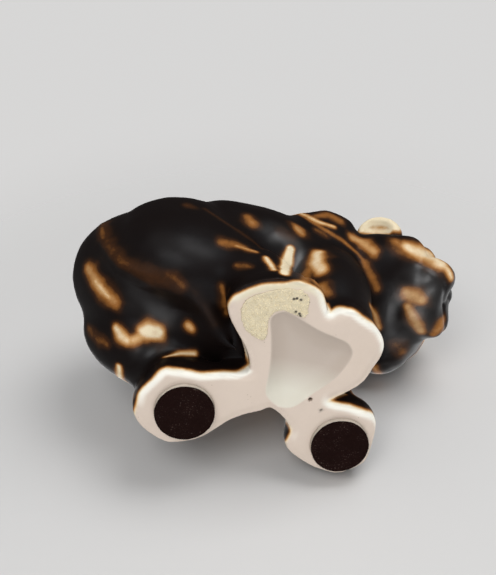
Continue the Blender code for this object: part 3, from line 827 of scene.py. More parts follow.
def model_features(skin):
    """Model the eyes, the nose, the mouth and the toes in the softened clay."""
    surface = skin.tree()
    normals = skin.normals()
    for middle in EYE_MIDDLES:
        gap = skin.gaps_to(on_face(surface, middle))
        dome = EYE_RISE * np.clip(1.0 - (gap / EYE_HALF) ** 2, 0.0, 1.0)
        dome -= EYE_RING_DEPTH * np.exp(-((gap - EYE_RING) / EYE_RING_WIDTH) ** 2)
        skin.places += normals * (dome * MM * (gap < EYE_EDGE))[:, None]
    gap = skin.gaps_to(on_face(surface, NOSE_MIDDLE))
    skin.places += normals * (NOSE_RISE * MM * (1.0 - step(*NOSE_EDGE, gap)))[:, None]
    surface = skin.tree()
    for middle in NOSTRILS:
        press(skin, normals, [on_face(surface, middle)], NOSTRIL_MARK)
    for line in LIP_LINES:
        press(skin, normals, on_head(surface, line, 0.4), LIP_MARK)
    for middle, angles in PAWS:
        for angle in angles:
            press(skin, normals, toe_line(surface, clay_spot(*middle), math.radians(angle)), TOE_MARK)


# Which places belong to the sole's flat face and to the wall round it, in millimetres above the sole and past
# the hollow, and how far up the underside reaches
FLAT_BAND = 0.12
WALL_LOW = 0.3
WALL_HIGH = 1.4
PAST_HOLLOW = 1.5
CLEAR_OF_VENT = 2.0
UNDERSIDE_HEIGHT = 2.2
RIM_FADE = (-0.1, 0.5)
DISH_FADE = (-0.6, 1.0)
# The vent's sides, in parts of its width
VENT_FADE = (0.30, 0.62)


def level_sole(skin, vent_width):
    """Lay the sole flat again, round its rim, dish its hollow and sink the vent into it."""
    normals = skin.normals()
    height = (skin.places[:, 2] - SOLE_LEVEL) / MM
    depth = depth_inside(sole_loop(HOLLOW_OUTLINE), skin.places[:, :2]) / MM
    from_vent = skin.gaps_across([VENT_PLACE])
    past_hollow = depth < -PAST_HOLLOW
    under = (normals[:, 2] < 0.3) & (height < UNDERSIDE_HEIGHT)

    flat = (np.abs(height) < FLAT_BAND) & (normals[:, 2] < -0.9)
    wall = (height > WALL_LOW) & (height < WALL_HIGH) & past_hollow & (from_vent > CLEAR_OF_VENT)
    wall = np.nonzero(wall)[0]
    rim = KDTree(len(wall))
    for number, vertex in enumerate(wall):
        rim.insert((*skin.places[vertex, :2], 0.0), number)
    rim.balance()
    for vertex in np.nonzero(flat)[0]:
        gap = rim.find((*skin.places[vertex, :2], 0.0))[2] / MM
        skin.places[vertex, 2] = SOLE_LEVEL + RIM_ROLL * MM * max(0.0, 1.0 - gap / RIM_REACH) ** 2
    skin.places[flat, 2] += SOLE_LUMP * MM * ripples(skin.places[flat], SOLE_LUMP_SIZE * MM, 6.0)
    skin.soften(4, (height < UNDERSIDE_HEIGHT) * past_hollow * step(*RIM_FADE, height))

    dish = (depth > DISH_FADE[0]) & under
    slope = 1.0 - np.clip(depth[dish] / DISH_SLOPE, 0.0, 1.0)
    sunk = (1.0 - slope ** DISH_CURVE) * step(*DISH_FADE, depth[dish])
    skin.places[dish, 2] = SOLE_LEVEL + DISH_DEPTH * MM * sunk
    skin.soften(8, (depth > 0.8) & under)
    sink = 1.0 - step(*VENT_FADE, from_vent * MM / vent_width)
    skin.places[:, 2] += np.where(height < 1.0, VENT_DEPTH * MM * sink, 0.0)


def touch(surface, ray):
    """Where a line of sight meets the skin, or the place on the skin that it passes closest to."""
    spot, normal, _, distance = surface.ray_cast(EYE_PLACE, ray)
    if spot is not None:
        return spot, normal, distance
    nearest = [(surface.find_nearest(EYE_PLACE + ray * reach), reach) for reach in PASSING_REACHES]
    (spot, normal, _, _), distance = min(nearest, key=lambda found: found[0][3])
    return spot, normal, distance


# A streak's spots lie this far apart in pixels, it is wider in its middle, and its edge wobbles
SPOT_SPACING = 1.2
MIDDLE_SWELL = 0.30
WOBBLE = 0.34
WOBBLE_SIZE = 3.6 * MM
# How many half widths a streak can colour, and a number of them at which it colours nothing
STREAK_REACH = 2.2
TOO_FAR = 9.0


def streak_spots(surface, line, mirror=None):
    """The places, normals and distances on the skin under a line of pixels, or on the dog's other side."""
    found = [touch(surface, sight_line(across, down)) for across, down in along(line, SPOT_SPACING)]
    if mirror is not None:
        found = [(*surface.find_nearest(mirror @ spot)[:2], distance) for spot, _, distance in found]
    return [np.array(column) for column in zip(*found)]


def streak_paint(skin, normals, surface, streaks, mirror=None):
    """How strong a paint is at each place, from streaks that the camera sees or their mirror images."""
    wobble = 1.0 + WOBBLE * ripples(skin.places, WOBBLE_SIZE, 4.0)
    painted = np.zeros(len(skin.places))
    for streak in streaks.values():
        spots, turned, distance = streak_spots(surface, streak.line, mirror)
        taper = 1.0 + MIDDLE_SWELL * np.sin(np.linspace(0.0, np.pi, len(spots)))
        reach = streak.reach * taper * distance / FOCAL_PIXELS
        steps = np.diff(spots, axis=0)
        steps[np.linalg.norm(steps, axis=1) > LONGEST_STEP] = 0.0
        widest = reach.max() * STREAK_REACH
        low, high = spots.min(0) - widest, spots.max(0) + widest
        near = np.nonzero(((skin.places > low) & (skin.places < high)).all(1))[0]
        away = skin.places[near][:, None] - spots[None, :-1]
        share = np.einsum("ijk,jk->ij", away, steps) / np.maximum((steps ** 2).sum(1), 1e-12)
        away -= np.clip(share, 0.0, 1.0)[:, :, None] * steps[None]
        gaps = np.linalg.norm(away, axis=2) / reach[None, :-1]
        same_side = normals[near] @ turned[:-1].T > -0.1
        gaps = np.where(same_side, gaps, TOO_FAR).min(1) * wobble[near]
        painted[near] = np.maximum(painted[near], streak.thinness * np.exp(-gaps ** 2))
    return painted


# Thin glaze that isn't read off the photograph: how far ridges stand out, how far from the head's middle the
# body begins and how high strewn streaks begin, in millimetres, and the form of the streaks and patches
RIDGE_FADE = (0.42, 1.1)
OFF_HEAD_FADE = (26.0, 34.0)
STREWN_HEIGHT = (6.0, 12.0)
STREWN_SIZE = 5.5 * MM
STREWN_STRETCH = (0.42, 0.9, 1.0)
STREWN_FADE = (0.22, 0.62)
PATCH_SIZE = 9.0 * MM


def thinned_glaze(skin, normals, surface, unseen):
    """How thin the glaze is at each place: as photographed, and on the unseen sides mirrored and strewn."""
    seen = np.maximum(streak_paint(skin, normals, surface, BODY_STREAKS),
                      streak_paint(skin, normals, surface, HEAD_STREAKS))
    far = np.maximum(streak_paint(skin, normals, surface, BODY_STREAKS, BODY_MIRROR),
                     streak_paint(skin, normals, surface, HEAD_STREAKS, HEAD_MIRROR))
    height = (skin.places[:, 2] - SOLE_LEVEL) / MM
    off_head = step(*OFF_HEAD_FADE, skin.gaps_to(head_spot(0.0, 0.0, 0.0)))
    patchy = 0.5 + 0.5 * ripples(skin.places, PATCH_SIZE, 1.0)
    ridges = step(*RIDGE_FADE, skin.bulge(60, normals) / MM)
    ridges *= (0.35 + 0.65 * patchy) * (0.6 + 0.4 * off_head)
    strewn = step(*STREWN_FADE, ripples(skin.places * STREWN_STRETCH, STREWN_SIZE, 5.0))
    strewn *= (0.45 + 0.5 * patchy) * step(*STREWN_HEIGHT, height) * off_head
    thin = np.maximum(seen, np.maximum(np.maximum(far, ridges) * 0.9, strewn) * unseen)
    return np.maximum(thin, ridges * 0.35)


def pooled_glaze_and_shade(skin, normals, surface):
    """How dark the glaze is painted at each place: pooled glaze with painted shade in hollows, and dark eyes
    and nose.
    """
    pools_and_shade = streak_paint(skin, normals, surface, POOLS_AND_SHADE)
    for middle, reach in DARK_FEATURES.items():
        gap = skin.gaps_to(on_face(surface, middle))
        pools_and_shade = np.maximum(pools_and_shade, np.exp(-(gap / reach) ** 4))
    return pools_and_shade


# How far thin glaze stands out and pooled glaze lies deeper, and above which heights, in millimetres
THIN_RISE = 0.15
POOL_DEPTH = 0.45
RISE_FADE = (2.0, 5.0)
# How squarely a place has to face the camera to be seen
SEEN_FADE = (0.02, 0.22)
# Where the rim is thin and bare: by height in parts of the rim's height, and in pixels inside the white edge
THIN_CLIMB = (0.55, 1.60)
BARE_CLIMB = (0.45, 0.85)
THIN_EDGE = (-6.5, 0.0)
BARE_EDGE = (-1.4, 0.8)
WHITE_FADE = (3.5, 8.0)
EDGE_WOBBLE = 0.9
# The white edge counts up to this height in millimetres, and the rim is painted white, with painted highlight,
# where it looks to the right towards the light
EDGE_HEIGHT = 5.0
RIGHTWARDS_FADE = (-0.04, 0.08)


def paint_glaze(skin, settings):
    """Paint where the glaze is thin or glossy and where the clay is bare, and let thin glaze stand out."""
    normals = skin.normals()
    surface = skin.tree()
    height = (skin.places[:, 2] - SOLE_LEVEL) / MM
    to_eye = np.array(EYE_PLACE) - skin.places
    to_eye /= np.linalg.norm(to_eye, axis=1)[:, None]
    unseen = 1.0 - step(*SEEN_FADE, np.einsum("ij,ij->i", normals, to_eye))

    pools_and_shade = pooled_glaze_and_shade(skin, normals, surface)
    # Glaze painted dark where it pools, and as painted shade in hollows
    thin = thinned_glaze(skin, normals, surface, unseen) * (1.0 - pools_and_shade)
    skin.paint("sheen", np.maximum(streak_paint(skin, normals, surface, SHEENS), pools_and_shade * unseen))
    rise = (THIN_RISE * thin - POOL_DEPTH * pools_and_shade * (1.0 - unseen)) * step(*RISE_FADE, height)
    skin.places += normals * (rise * MM)[:, None]

    uneven = ripples(skin.places, 6.0 * MM, 2.0) * 0.55 + ripples(skin.places, 1.6 * MM, 3.0) * 0.2
    climb = height * MM / (settings.rim_height * (1.0 + uneven))
    rim = 1.0 - step(*THIN_CLIMB, climb)
    bare = 1.0 - step(*BARE_CLIMB, climb)
    low = np.nonzero((height < EDGE_HEIGHT) & (unseen < 1.0))[0]
    shown = 1.0 - unseen[low]
    inside = depth_inside(rounded_loop(WHITE_EDGE, 2), picture_places(skin.places[low]))
    inside += EDGE_WOBBLE * uneven[low]
    rim[low] = unseen[low] * rim[low] + shown * step(*THIN_EDGE, inside)
    bare[low] = unseen[low] * bare[low] + shown * step(*BARE_EDGE, inside)
    white = np.zeros(len(rim))
    # Clear glaze on the rim, painted whiter as highlight on the side that faces the light
    rightwards = -skin.calmed(normals, 14)[low, 1]
    white[low] = shown * (1.0 - step(*WHITE_FADE, inside)) * step(*RIGHTWARDS_FADE, rightwards)
    skin.paint("thin_glaze", np.maximum(thin, rim))
    skin.paint("bare_clay", bare)
    skin.paint("white_rim", white)
    paint_sole(skin, height, normals)


# Soft edges of the hollow, the stain, the specks and the painted shade in the vent, in millimetres
HOLLOW_EDGE = (-0.25, 0.25)
STAIN_EDGE = (-4.5, -0.5)
DARK_SPOT_EDGE = (0.25, 0.70)
DIRT_EDGE = (0.25, 0.50)


def paint_sole(skin, height, normals):
    """Paint the glossy hollow, the stain beside the dried glue, a dark speck and painted shade in the vent."""
    under = (normals[:, 2] < 0.2) & (height < 2.5)
    in_hollow = depth_inside(sole_loop(HOLLOW_OUTLINE), skin.places[:, :2]) / MM
    hollow = step(*HOLLOW_EDGE, in_hollow) * under
    skin.paint("glossy_hollow", hollow)
    in_residue = depth_inside(sole_loop(RESIDUE_OUTLINE), skin.places[:, :2]) / MM
    skin.paint("stain", step(*STAIN_EDGE, in_residue) * (1.0 - hollow) * under)
    # A dark speck on the sole, and painted shade darkening the vent
    gaps = skin.gaps_across([on_level(SOLE_LEVEL, SOLE_SPECK), VENT_PLACE])
    skin.paint("grime", (1.0 - step(*DARK_SPOT_EDGE, gaps)) * (height < 3.0))


def glaze_colour(finish, thin, settings):
    """Near-black glaze that breaks to amber and cream where it is thin."""
    cloudy = finish.blend(finish.mottle(90.0, 3.0), settings.dark, shaded(settings.dark, 1.7))
    broken = finish.ramp(thin, (0.0, settings.dark), (0.16, (0.009, 0.0045, 0.0028)), (0.36, settings.umber),
                         (0.58, settings.amber), (0.78, settings.tan), (1.0, settings.cream))
    return finish.blend((1.0 - thin * 6.0).held(), broken, cloudy)


def bisque_colour(finish, chalk, grubby, settings):
    """Bare clay, a little grubby, with pinholes."""
    bisque = finish.blend((chalk * 0.5).held(), settings.bisque, shaded(settings.bisque, 1.12))
    bisque = finish.blend(((grubby - 0.52) * 1.6).held() * 0.35, bisque, (0.56, 0.45, 0.35))
    pits = finish.node("ShaderNodeTexVoronoi", {}, {"Vector": finish.place, "Scale": 900.0})
    pinhole = ((0.16 - pits) * 14.0).held() * ((finish.mottle(260.0, 1.0) - 0.58) * 10.0).held()
    return finish.blend(pinhole * 0.6, bisque, (0.30, 0.22, 0.16))


def hollow_colour(finish, grubby, settings):
    """Clear glaze over the hollow, darkened as painted shade, and paler at its low end as painted light."""
    clear = finish.blend(((grubby - 0.4) * 1.4).held() * 0.4, settings.hollow, shaded(settings.hollow, 0.9))
    leftwards = finish.node("ShaderNodeSeparateXYZ", {}, {0: finish.place}, 1)
    # Painted light: paler towards the hollow's low end
    painted_light_low_end = ((leftwards - HOLLOW_MIDDLE.y) / (9.0 * MM) + 0.1).held()
    return finish.blend(painted_light_low_end, clear, settings.hollow_painted_light_end)


def glaze_finish(settings):
    """Satin glaze with bare bisque and clear glaze on the sole."""
    finish = Finish("satin_glaze")
    painted = finish.painted("thin_glaze")
    broken = (finish.mottle(420.0, 4.0, 0.6) - 0.5) * 0.26
    fine = (finish.mottle(2600.0, 2.0) - 0.5) * 0.05
    thin = (painted + (broken + fine) * (painted * 3.0).held()).held()
    chalk = finish.mottle(700.0, 5.0, 0.65)
    grubby = finish.mottle(130.0, 3.0)
    gloss = finish.painted("glossy_hollow")
    bare = finish.painted("bare_clay")
    white_rim = finish.painted("white_rim")

    rim = finish.blend(finish.painted("stain") * 0.75, settings.rim, settings.stain)
    # Clear glaze painted white on the rim's side that faces the light, as painted highlight
    ground = finish.blend(white_rim, bisque_colour(finish, chalk, grubby, settings), rim)
    ground = finish.blend(gloss, ground, hollow_colour(finish, grubby, settings))
    # A dark speck on the sole and painted shade in the vent
    ground = finish.blend(finish.painted("grime"), ground, (0.05, 0.04, 0.03))
    colour = finish.blend(bare.largest(gloss), glaze_colour(finish, thin, settings), ground)

    rough_bare = 0.62 + chalk * 0.16
    rough_glaze = 0.46 + (finish.mottle(160.0, 2.0) - 0.5) * 0.10 - thin * 0.06
    rough = rough_glaze + (rough_bare - rough_glaze) * bare
    rough = rough + (0.22 - rough) * gloss.largest(white_rim * 0.6)
    peel = finish.mottle(1500.0, 2.0) * 0.6 + chalk * 0.4
    coat = (gloss * 0.15).largest(finish.painted("sheen") * 0.9)
    finish.set(Specular_IOR_Level=0.06, Specular_Tint=(0.78, 0.90, 1.0, 1.0))
    finish.set(Coat_Roughness=0.34, Coat_Tint=(0.90, 0.96, 1.0, 1.0), Coat_IOR=1.5, Coat_Weight=coat)
    return finish.set(Base_Color=colour, Roughness=rough, Normal=finish.relief(peel, 0.05 * MM, 0.6))


# Heights over which the clay is softened and its folds are filled, and how far from the ears, in millimetres
SOFT_HEIGHT = (1.6, 4.5)
PAW_STEP_LOW = (4.0, 7.0)
PAW_STEP_HIGH = (10.0, 16.0)
FILL_HEIGHT = (3.0, 6.0)
EAR_FADE = (6.0, 11.0)
LAST_HEIGHT = (2.0, 4.5)


class FIGURINE_OT_glazed_body(bpy.types.Operator):
    """Join the clay sections under one skin of glaze"""
    bl_idname = "figurine.glazed_body"
    bl_label = "Glazed Body"

    def execute(self, context):
        settings = context.scene.figurine.skin
        piece = add_to_scene("glazed_body", gathered_clay(settings.swell))
        make_even(piece, settings.grain)
        keep_outer_skin(piece.data)
        skin = Skin(piece.data)
        height = (skin.places[:, 2] - SOLE_LEVEL) / MM
        skin.soften(settings.soft_passes, 0.06 + 0.94 * step(*SOFT_HEIGHT, height))
        above_paws = step(*PAW_STEP_LOW, height) * (1.0 - step(*PAW_STEP_HIGH, height))
        skin.soften(settings.foot_passes, above_paws)
        from_ears = np.minimum(*[skin.gaps_to(head_spot(*ear)) for ear in EAR_MIDDLES])
        off_sole = step(*FILL_HEIGHT, height)
        skin.fill_valleys(settings.fill_passes, off_sole * step(*EAR_FADE, from_ears))
        skin.soften(settings.soft_passes, off_sole)
        swell_clay(skin)
        model_features(skin)
        skin.soften(2, step(*LAST_HEIGHT, height))
        level_sole(skin, settings.vent_width)
        paint_glaze(skin, settings)
        skin.write()
        skin.mesh.shade_smooth()
        skin.mesh.materials.clear()
        skin.mesh.materials.append(glaze_finish(settings))
        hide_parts(*CLAY_NODES)
        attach(piece, "root")
        return {"FINISHED"}


class Growth(Tree):
    """A Geometry Nodes tree that scatters a small shape over a piece, with named inputs."""

    INPUTS = (("Density", "NodeSocketFloat"), ("Size", "NodeSocketFloat"), ("Seed", "NodeSocketInt"),
              ("Material", "NodeSocketMaterial"))

    def __init__(self, name):
        super().__init__(bpy.data.node_groups.new(name, "GeometryNodeTree"))
        face = self.tree.interface
        face.new_socket("Geometry", in_out="INPUT", socket_type="NodeSocketGeometry")
        self.names = {label: face.new_socket(label, in_out="INPUT", socket_type=kind).identifier
                      for label, kind in self.INPUTS}
        face.new_socket("Geometry", in_out="OUTPUT", socket_type="NodeSocketGeometry")
        entry = self.tree.nodes.new("NodeGroupInput")
        self.given = {label: Wire(self, entry.outputs[label]) for label in ("Geometry", *self.names)}

    def scatter(self, shape, tilt_low, tilt_high, small, large):
        """Scatter the shape over the faces that look down or sideways, turned and sized at random."""
        upwards = self.node("ShaderNodeSeparateXYZ", {}, {0: self.node("GeometryNodeInputNormal")}, 2)
        shown = self.node("FunctionNodeCompare", {"data_type": "FLOAT", "operation": "LESS_THAN"},
                          {0: upwards, 1: 0.3})
        spread = self.tree.nodes.new("GeometryNodeDistributePointsOnFaces")
        for label, value in (("Mesh", self.given["Geometry"]), ("Selection", shown),
                             ("Density", self.given["Density"]), ("Seed", self.given["Seed"])):
            self.plug(spread.inputs[label], value)
        turn = self.chance("FLOAT_VECTOR", tilt_low, tilt_high, 1)
        turned = self.node("FunctionNodeRotateRotation", {"rotation_space": "LOCAL"},
                           {"Rotation": Wire(self, spread.outputs["Rotation"]),
                            "Rotate By": self.node("FunctionNodeEulerToRotation", {}, {0: turn})})
        sized = self.node("ShaderNodeVectorMath", {"operation": "SCALE"},
                          {0: self.chance("FLOAT_VECTOR", small, large, 2), "Scale": self.given["Size"]})
        placed = self.node("GeometryNodeInstanceOnPoints", {}, {
            "Points": Wire(self, spread.outputs["Points"]), "Instance": shape, "Rotation": turned,
            "Scale": sized})
        tinted = self.node("GeometryNodeStoreNamedAttribute", {"data_type": "FLOAT", "domain": "INSTANCE"},
                           {"Geometry": placed, "Name": "tint", "Value": self.chance("FLOAT", 0.0, 1.0, 3)})
        joined = self.tree.nodes.new("GeometryNodeJoinGeometry")
        self.plug(joined.inputs[0], tinted)
        self.plug(joined.inputs[0], self.given["Geometry"])
        real = self.node("GeometryNodeRealizeInstances", {}, {0: Wire(self, joined.outputs[0])})
        coated = self.node("GeometryNodeSetMaterial", {},
                           {"Geometry": real, "Material": self.given["Material"]})
        self.node("NodeGroupOutput", {}, {0: coated})

    def chance(self, kind, low, high, step_on):
        """A random value for each point between two limits."""
        first, output = (0, 0) if kind == "FLOAT_VECTOR" else (2, 1)
        return self.node("FunctionNodeRandomValue", {"data_type": kind},
                         {first: low, first + 1: high, "Seed": self.given["Seed"] + float(step_on)}, output)

    def grow_on(self, piece, **values):
        """Run the tree on a piece and keep the result as its plain mesh."""
        modifier = piece.modifiers.new(self.tree.name, "NODES")
        modifier.node_group = self.tree
        for label, value in values.items():
            modifier[self.names[label]] = value
        return settle(piece)


def fibre_growth():
    """Short bent fibres that lie close on the felt."""
    growth = Growth("felt_fibres")
    bend = growth.node("GeometryNodeCurveQuadraticBezier", {}, {
        "Resolution": 4, "Start": (0.0, 0.0, -0.05), "Middle": (0.15, 0.0, 0.5), "End": (0.0, 0.35, 0.95)})
    round_edge = growth.node("GeometryNodeCurvePrimitiveCircle", {"mode": "RADIUS"},
                             {"Resolution": 3, "Radius": 0.026})
    fibre = growth.node("GeometryNodeCurveToMesh", {}, {"Curve": bend, "Profile Curve": round_edge,
                                                        "Fill Caps": True})
    growth.scatter(fibre, (1.05, 0.0, 0.0), (1.5, 0.0, FULL_TURN), (0.5, 0.5, 0.5), (1.1, 1.1, 1.1))
    return growth


def grain_growth():
    """Crumbs of dried glue."""
    growth = Growth("glue_grains")
    crumb = growth.node("GeometryNodeMeshIcoSphere", {}, {"Radius": 1.0, "Subdivisions": 1})
    growth.scatter(crumb, (0.0, 0.0, 0.0), (FULL_TURN, FULL_TURN, FULL_TURN), (0.25, 0.25, 0.2),
                   (1.0, 0.9, 0.7))
    return growth


def felt_finish(settings):
    """Dense dark felt with the odd pale fibre."""
    finish = Finish("felt")
    tint = finish.painted("tint")
    matted = finish.mottle(900.0, 5.0, 0.7)
    worn = finish.mottle(220.0, 3.0)
    base = finish.blend(matted, shaded(settings.colour, 0.6), shaded(settings.colour, 1.9))
    base = finish.blend(((worn - 0.5) * 2.0).held() * 0.5, base, shaded(settings.colour, 2.4))
    pale = ((tint - 0.94) * 30.0).held()
    fibre = finish.blend((tint * 0.7).held(), base, shaded(settings.colour, 1.2))
    colour = finish.blend(pale * 0.25, fibre, settings.lint)
    flecks = ((finish.mottle(2400.0, 2.0) - 0.60) * 9.0).held() * ((worn - 0.42) * 5.0).held()
    colour = finish.blend(flecks * 0.6, colour, settings.lint)
    finish.set(Specular_IOR_Level=0.03)
    return finish.set(Base_Color=colour, Roughness=0.88 + matted * 0.1,
                      Normal=finish.relief(matted, 0.12 * MM, 0.8))


def turned(middle, profile, turns=72):
    """A closed disc turned about an upright line, from pairs of a radius and a height."""
    shape = bmesh.new()
    rings = []
    for radius, height in profile:
        count = turns if radius > 1e-9 else 1
        ring = [shape.verts.new((middle.x + radius * math.cos(math.tau * number / turns),
                                 middle.y + radius * math.sin(math.tau * number / turns), height))
                for number in range(count)]
        rings.append(ring)
    for first, second in zip(rings, rings[1:]):
        for number in range(turns):
            corners = [first[number % len(first)], first[(number + 1) % turns % len(first)],
                       second[(number + 1) % turns % len(second)], second[number % len(second)]]
            shape.faces.new(list(dict.fromkeys(corners)))
    bmesh.ops.recalc_face_normals(shape, faces=shape.faces)
    shape.normal_update()
    return shape


def felt_disc(name, middle, half, thickness):
    """A punched disc of felt with a soft edge and a matted face."""
    face = [(radius, 0.0) for radius in np.linspace(0.0, half - 0.35 * MM, 19)]
    edge = [(half - 0.12 * MM, 0.06 * MM), (half - 0.02 * MM, 0.24 * MM), (half, 0.55 * MM), (half, 0.8 * MM),
            (half - 0.06 * MM, thickness - 0.12 * MM), (half - 0.25 * MM, thickness)]
    shape = turned(middle, face + edge + [(half * 0.5, thickness), (0.0, thickness)])
    for vertex in shape.verts:
        lump = noise.noise(vertex.co / (1.3 * MM)) * 0.07 + noise.noise(vertex.co / (0.5 * MM)) * 0.04
        if vertex.co.z < 0.05 * MM:
            vertex.co.z += FELT_LIFT + max(0.0, lump) * MM
        elif vertex.co.z < thickness * 0.95:
            vertex.co += vertex.normal * lump * MM
    return mesh_of(shape, name)


def glue_bed(name, middle, half, low, high):
    """A bed of dried glue between a pad and the sole, squeezed out a little at its edge."""
    tall = high - low
    shape = turned(middle, [(0.0, low), (half * 0.6, low), (half - 0.3 * MM, low), (half, low + 0.25 * tall),
                            (half + 0.04 * MM, low + 0.6 * tall), (half + 0.25 * MM, high),
                            (half * 0.6, high), (0.0, high)])
    for vertex in shape.verts:
        away = vertex.co.xy - middle.xy
        if away.length > half * 0.9:
            grow = 1.0 + 0.02 * noise.noise(vertex.co / (2.4 * MM))
            vertex.co.xy = middle.xy + away * grow
    return mesh_of(shape, name)


class FIGURINE_OT_felt_pads(bpy.types.Operator):
    """Make the two felt pads under the left feet"""
    bl_idname = "figurine.felt_pads"
    bl_label = "Felt Pads"

    def execute(self, context):
        settings = context.scene.figurine.felt
        finish = felt_finish(settings)
        fibres = fibre_growth()
        for number, pad in enumerate(PAD_NODES):
            low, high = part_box(pad)
            half = (high.x - low.x) / 2 - settings.trim
            mesh = felt_disc(pad + "_felt", middle_of(pad), half, settings.thickness)
            mesh.shade_smooth()
            piece = add_to_scene(pad + "_felt", mesh)
            fibres.grow_on(piece, Density=settings.fibre_density, Size=settings.fibre_length,
                           Seed=settings.seed + number * 10, Material=finish)
            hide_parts(pad)
            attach(piece, "root")
        return {"FINISHED"}


def glue_finish(name, glue, dirt):
    """Dried glue with specks of dirt."""
    finish = Finish(name)
    tint = finish.painted("tint")
    cloud = finish.mottle(350.0, 4.0)
    crumbly = finish.mottle(2200.0, 3.0)
    colour = finish.blend((cloud * 0.6 + tint * 0.4).held(), shaded(glue, 0.62), shaded(glue, 1.22))
    speck = ((tint - 0.985) * 90.0).held().largest(finish.painted("dirt"))
    colour = finish.blend(speck, colour, dirt)
    finish.set(Specular_IOR_Level=0.3)
    return finish.set(Base_Color=colour, Roughness=0.55 + crumbly * 0.25,
                      Normal=finish.relief(crumbly, 0.12 * MM, 0.9))


def crust_mesh(name, thickness):
    """A ragged flat smear on the sole."""
    curve = bpy.data.curves.new(name, "CURVE")
    curve.dimensions = "2D"
    curve.fill_mode = "BOTH"
    curve.extrude = thickness / 2
    loop = sole_loop(RESIDUE_OUTLINE, 8)
    ragged = [1.0 + 0.045 * noise.noise(Vector((x, y, 0.0)) / (0.9 * MM)) for x, y in loop]
    centre = loop.mean(0)
    spline = curve.splines.new("POLY")
    spline.points.add(len(loop) - 1)
    for point, place, grow in zip(spline.points, loop, ragged):
        edge = centre + (place - centre) * grow
        point.co = (edge[0], edge[1], 0.0, 1.0)
    spline.use_cyclic_u = True
    blank = add_to_scene(name + "_blank", curve)
    bpy.context.view_layer.update()
    mesh = bpy.data.meshes.new_from_object(blank.evaluated_get(bpy.context.evaluated_depsgraph_get()))
    bpy.data.objects.remove(blank)
    mesh.transform(Matrix.Translation((0, 0, SOLE_LEVEL + CRUST_HOLD - thickness / 2)))
    return mesh


def crumble(piece, thickness):
    """Make the face of the smear lumpy and paint specks of dirt on it."""
    for vertex in piece.data.vertices:
        lump = noise.noise(vertex.co / (0.8 * MM)) * 0.10 + noise.noise(vertex.co / (2.5 * MM)) * 0.08
        if vertex.co.z < SOLE_LEVEL - 0.1 * MM:
            vertex.co.z += lump * MM
    crust = Skin(piece.data)
    specks = [on_level(SOLE_LEVEL - thickness, pixel) for pixel in GLUE_SPECKS]
    gaps = np.min([crust.gaps_to(speck) for speck in specks], axis=0)
    crust.paint("dirt", 1.0 - step(*DIRT_EDGE, gaps))
    piece.data.shade_smooth()


class FIGURINE_OT_dried_glue(bpy.types.Operator):
    """Make the crumbly smear left by a lost pad, and the beds that hold the others"""
    bl_idname = "figurine.dried_glue"
    bl_label = "Dried Glue"

    def execute(self, context):
        settings = context.scene.figurine.glue
        piece = add_to_scene("glue_residue_crust", crust_mesh("glue_residue_crust", settings.crust))
        make_even(piece, CRUST_GRAIN)
        crumble(piece, settings.crust)
        finish = glue_finish("dried_glue", settings.colour, settings.dirt)
        grain_growth().grow_on(piece, Density=settings.grain_density, Size=settings.grain_size,
                               Seed=settings.seed, Material=finish)
        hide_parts("glue_residue")
        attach(piece, "root")
        bed_finish = glue_finish("pale_glue", settings.bed_colour, settings.dirt)
        for pad, film in zip(PAD_NODES, FILM_NODES):
            low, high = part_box(pad)
            half = (high.x - low.x) / 2 - settings.bed_trim
            mesh = glue_bed(film + "_bed", middle_of(pad), half, low.z + settings.bed_level,
                            SOLE_LEVEL + BED_HOLD)
            mesh.shade_smooth()
            mesh.materials.append(bed_finish)
            bed = add_to_scene(film + "_bed", mesh)
            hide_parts(film)
            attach(bed, "root")
        return {"FINISHED"}


def floor_finish(name, colour, centre, solid_reach, reach):
    """A floor that only the camera sees, only from its upper side, and that fades away round the object."""
    material = bpy.data.materials.new(name)
    material.use_nodes = True
    tree = Tree(material.node_tree)
    material.node_tree.nodes.clear()
    ray = material.node_tree.nodes.new("ShaderNodeLightPath")
    behind = tree.node("ShaderNodeNewGeometry", {}, {}, "Backfacing")
    place = tree.node("ShaderNodeNewGeometry", {}, {}, "Position")
    away = tree.node("ShaderNodeVectorMath", {"operation": "DISTANCE"}, {0: place, 1: centre}, 1)
    faded = tree.node("ShaderNodeMapRange", {"interpolation_type": "SMOOTHERSTEP"},
                      {"Value": away, "From Min": solid_reach, "From Max": reach, "To Min": 1.0,
                       "To Max": 0.0})
    shown = Wire(tree, ray.outputs["Is Camera Ray"]) * (1.0 - behind) * faded
    clear = tree.node("ShaderNodeBsdfTransparent")
    matt = tree.node("ShaderNodeBsdfDiffuse", {}, {"Color": (*colour, 1.0)})
    mixed = tree.node("ShaderNodeMixShader", {}, {0: shown, 1: clear, 2: matt})
    tree.node("ShaderNodeOutputMaterial", {}, {"Surface": mixed})
    return material


def add_floor(name, colour, place, upwards, solid_reach, reach):
    """A round floor with its upper side towards the given direction."""
    shape = bmesh.new()
    turn = upwards.to_track_quat("Z", "Y").to_matrix().to_4x4()
    bmesh.ops.create_circle(shape, cap_ends=True, segments=96, radius=reach,
                            matrix=Matrix.Translation(place) @ turn)
    floor = add_to_scene(name, mesh_of(shape, name))
    floor.data.materials.append(floor_finish(name, colour, place, solid_reach, reach))
    floor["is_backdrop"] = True


def add_lamp(name, power, lamp, target):
    """A soft square lamp aimed at a place."""
    light = bpy.data.lights.new(name, "AREA")
    light.energy = power
    light.size = lamp.size
    holder = add_to_scene(name, light)
    holder.location = lamp.place
    holder.rotation_euler = (Vector(lamp.place) - target).to_track_quat("Z", "Y").to_euler()
    holder.visible_camera = False


def add_camera():
    """The camera that sees the figurine as the photograph does."""
    lens = bpy.data.cameras.new("photo_camera")
    lens.sensor_width = SENSOR
    lens.lens = FOCAL_PIXELS * SENSOR / PICTURE_HEIGHT
    lens.clip_start = 0.005
    camera = add_to_scene("photo_camera", lens)
    camera.location = EYE_PLACE
    camera.rotation_euler = EYE_TURN
    return camera


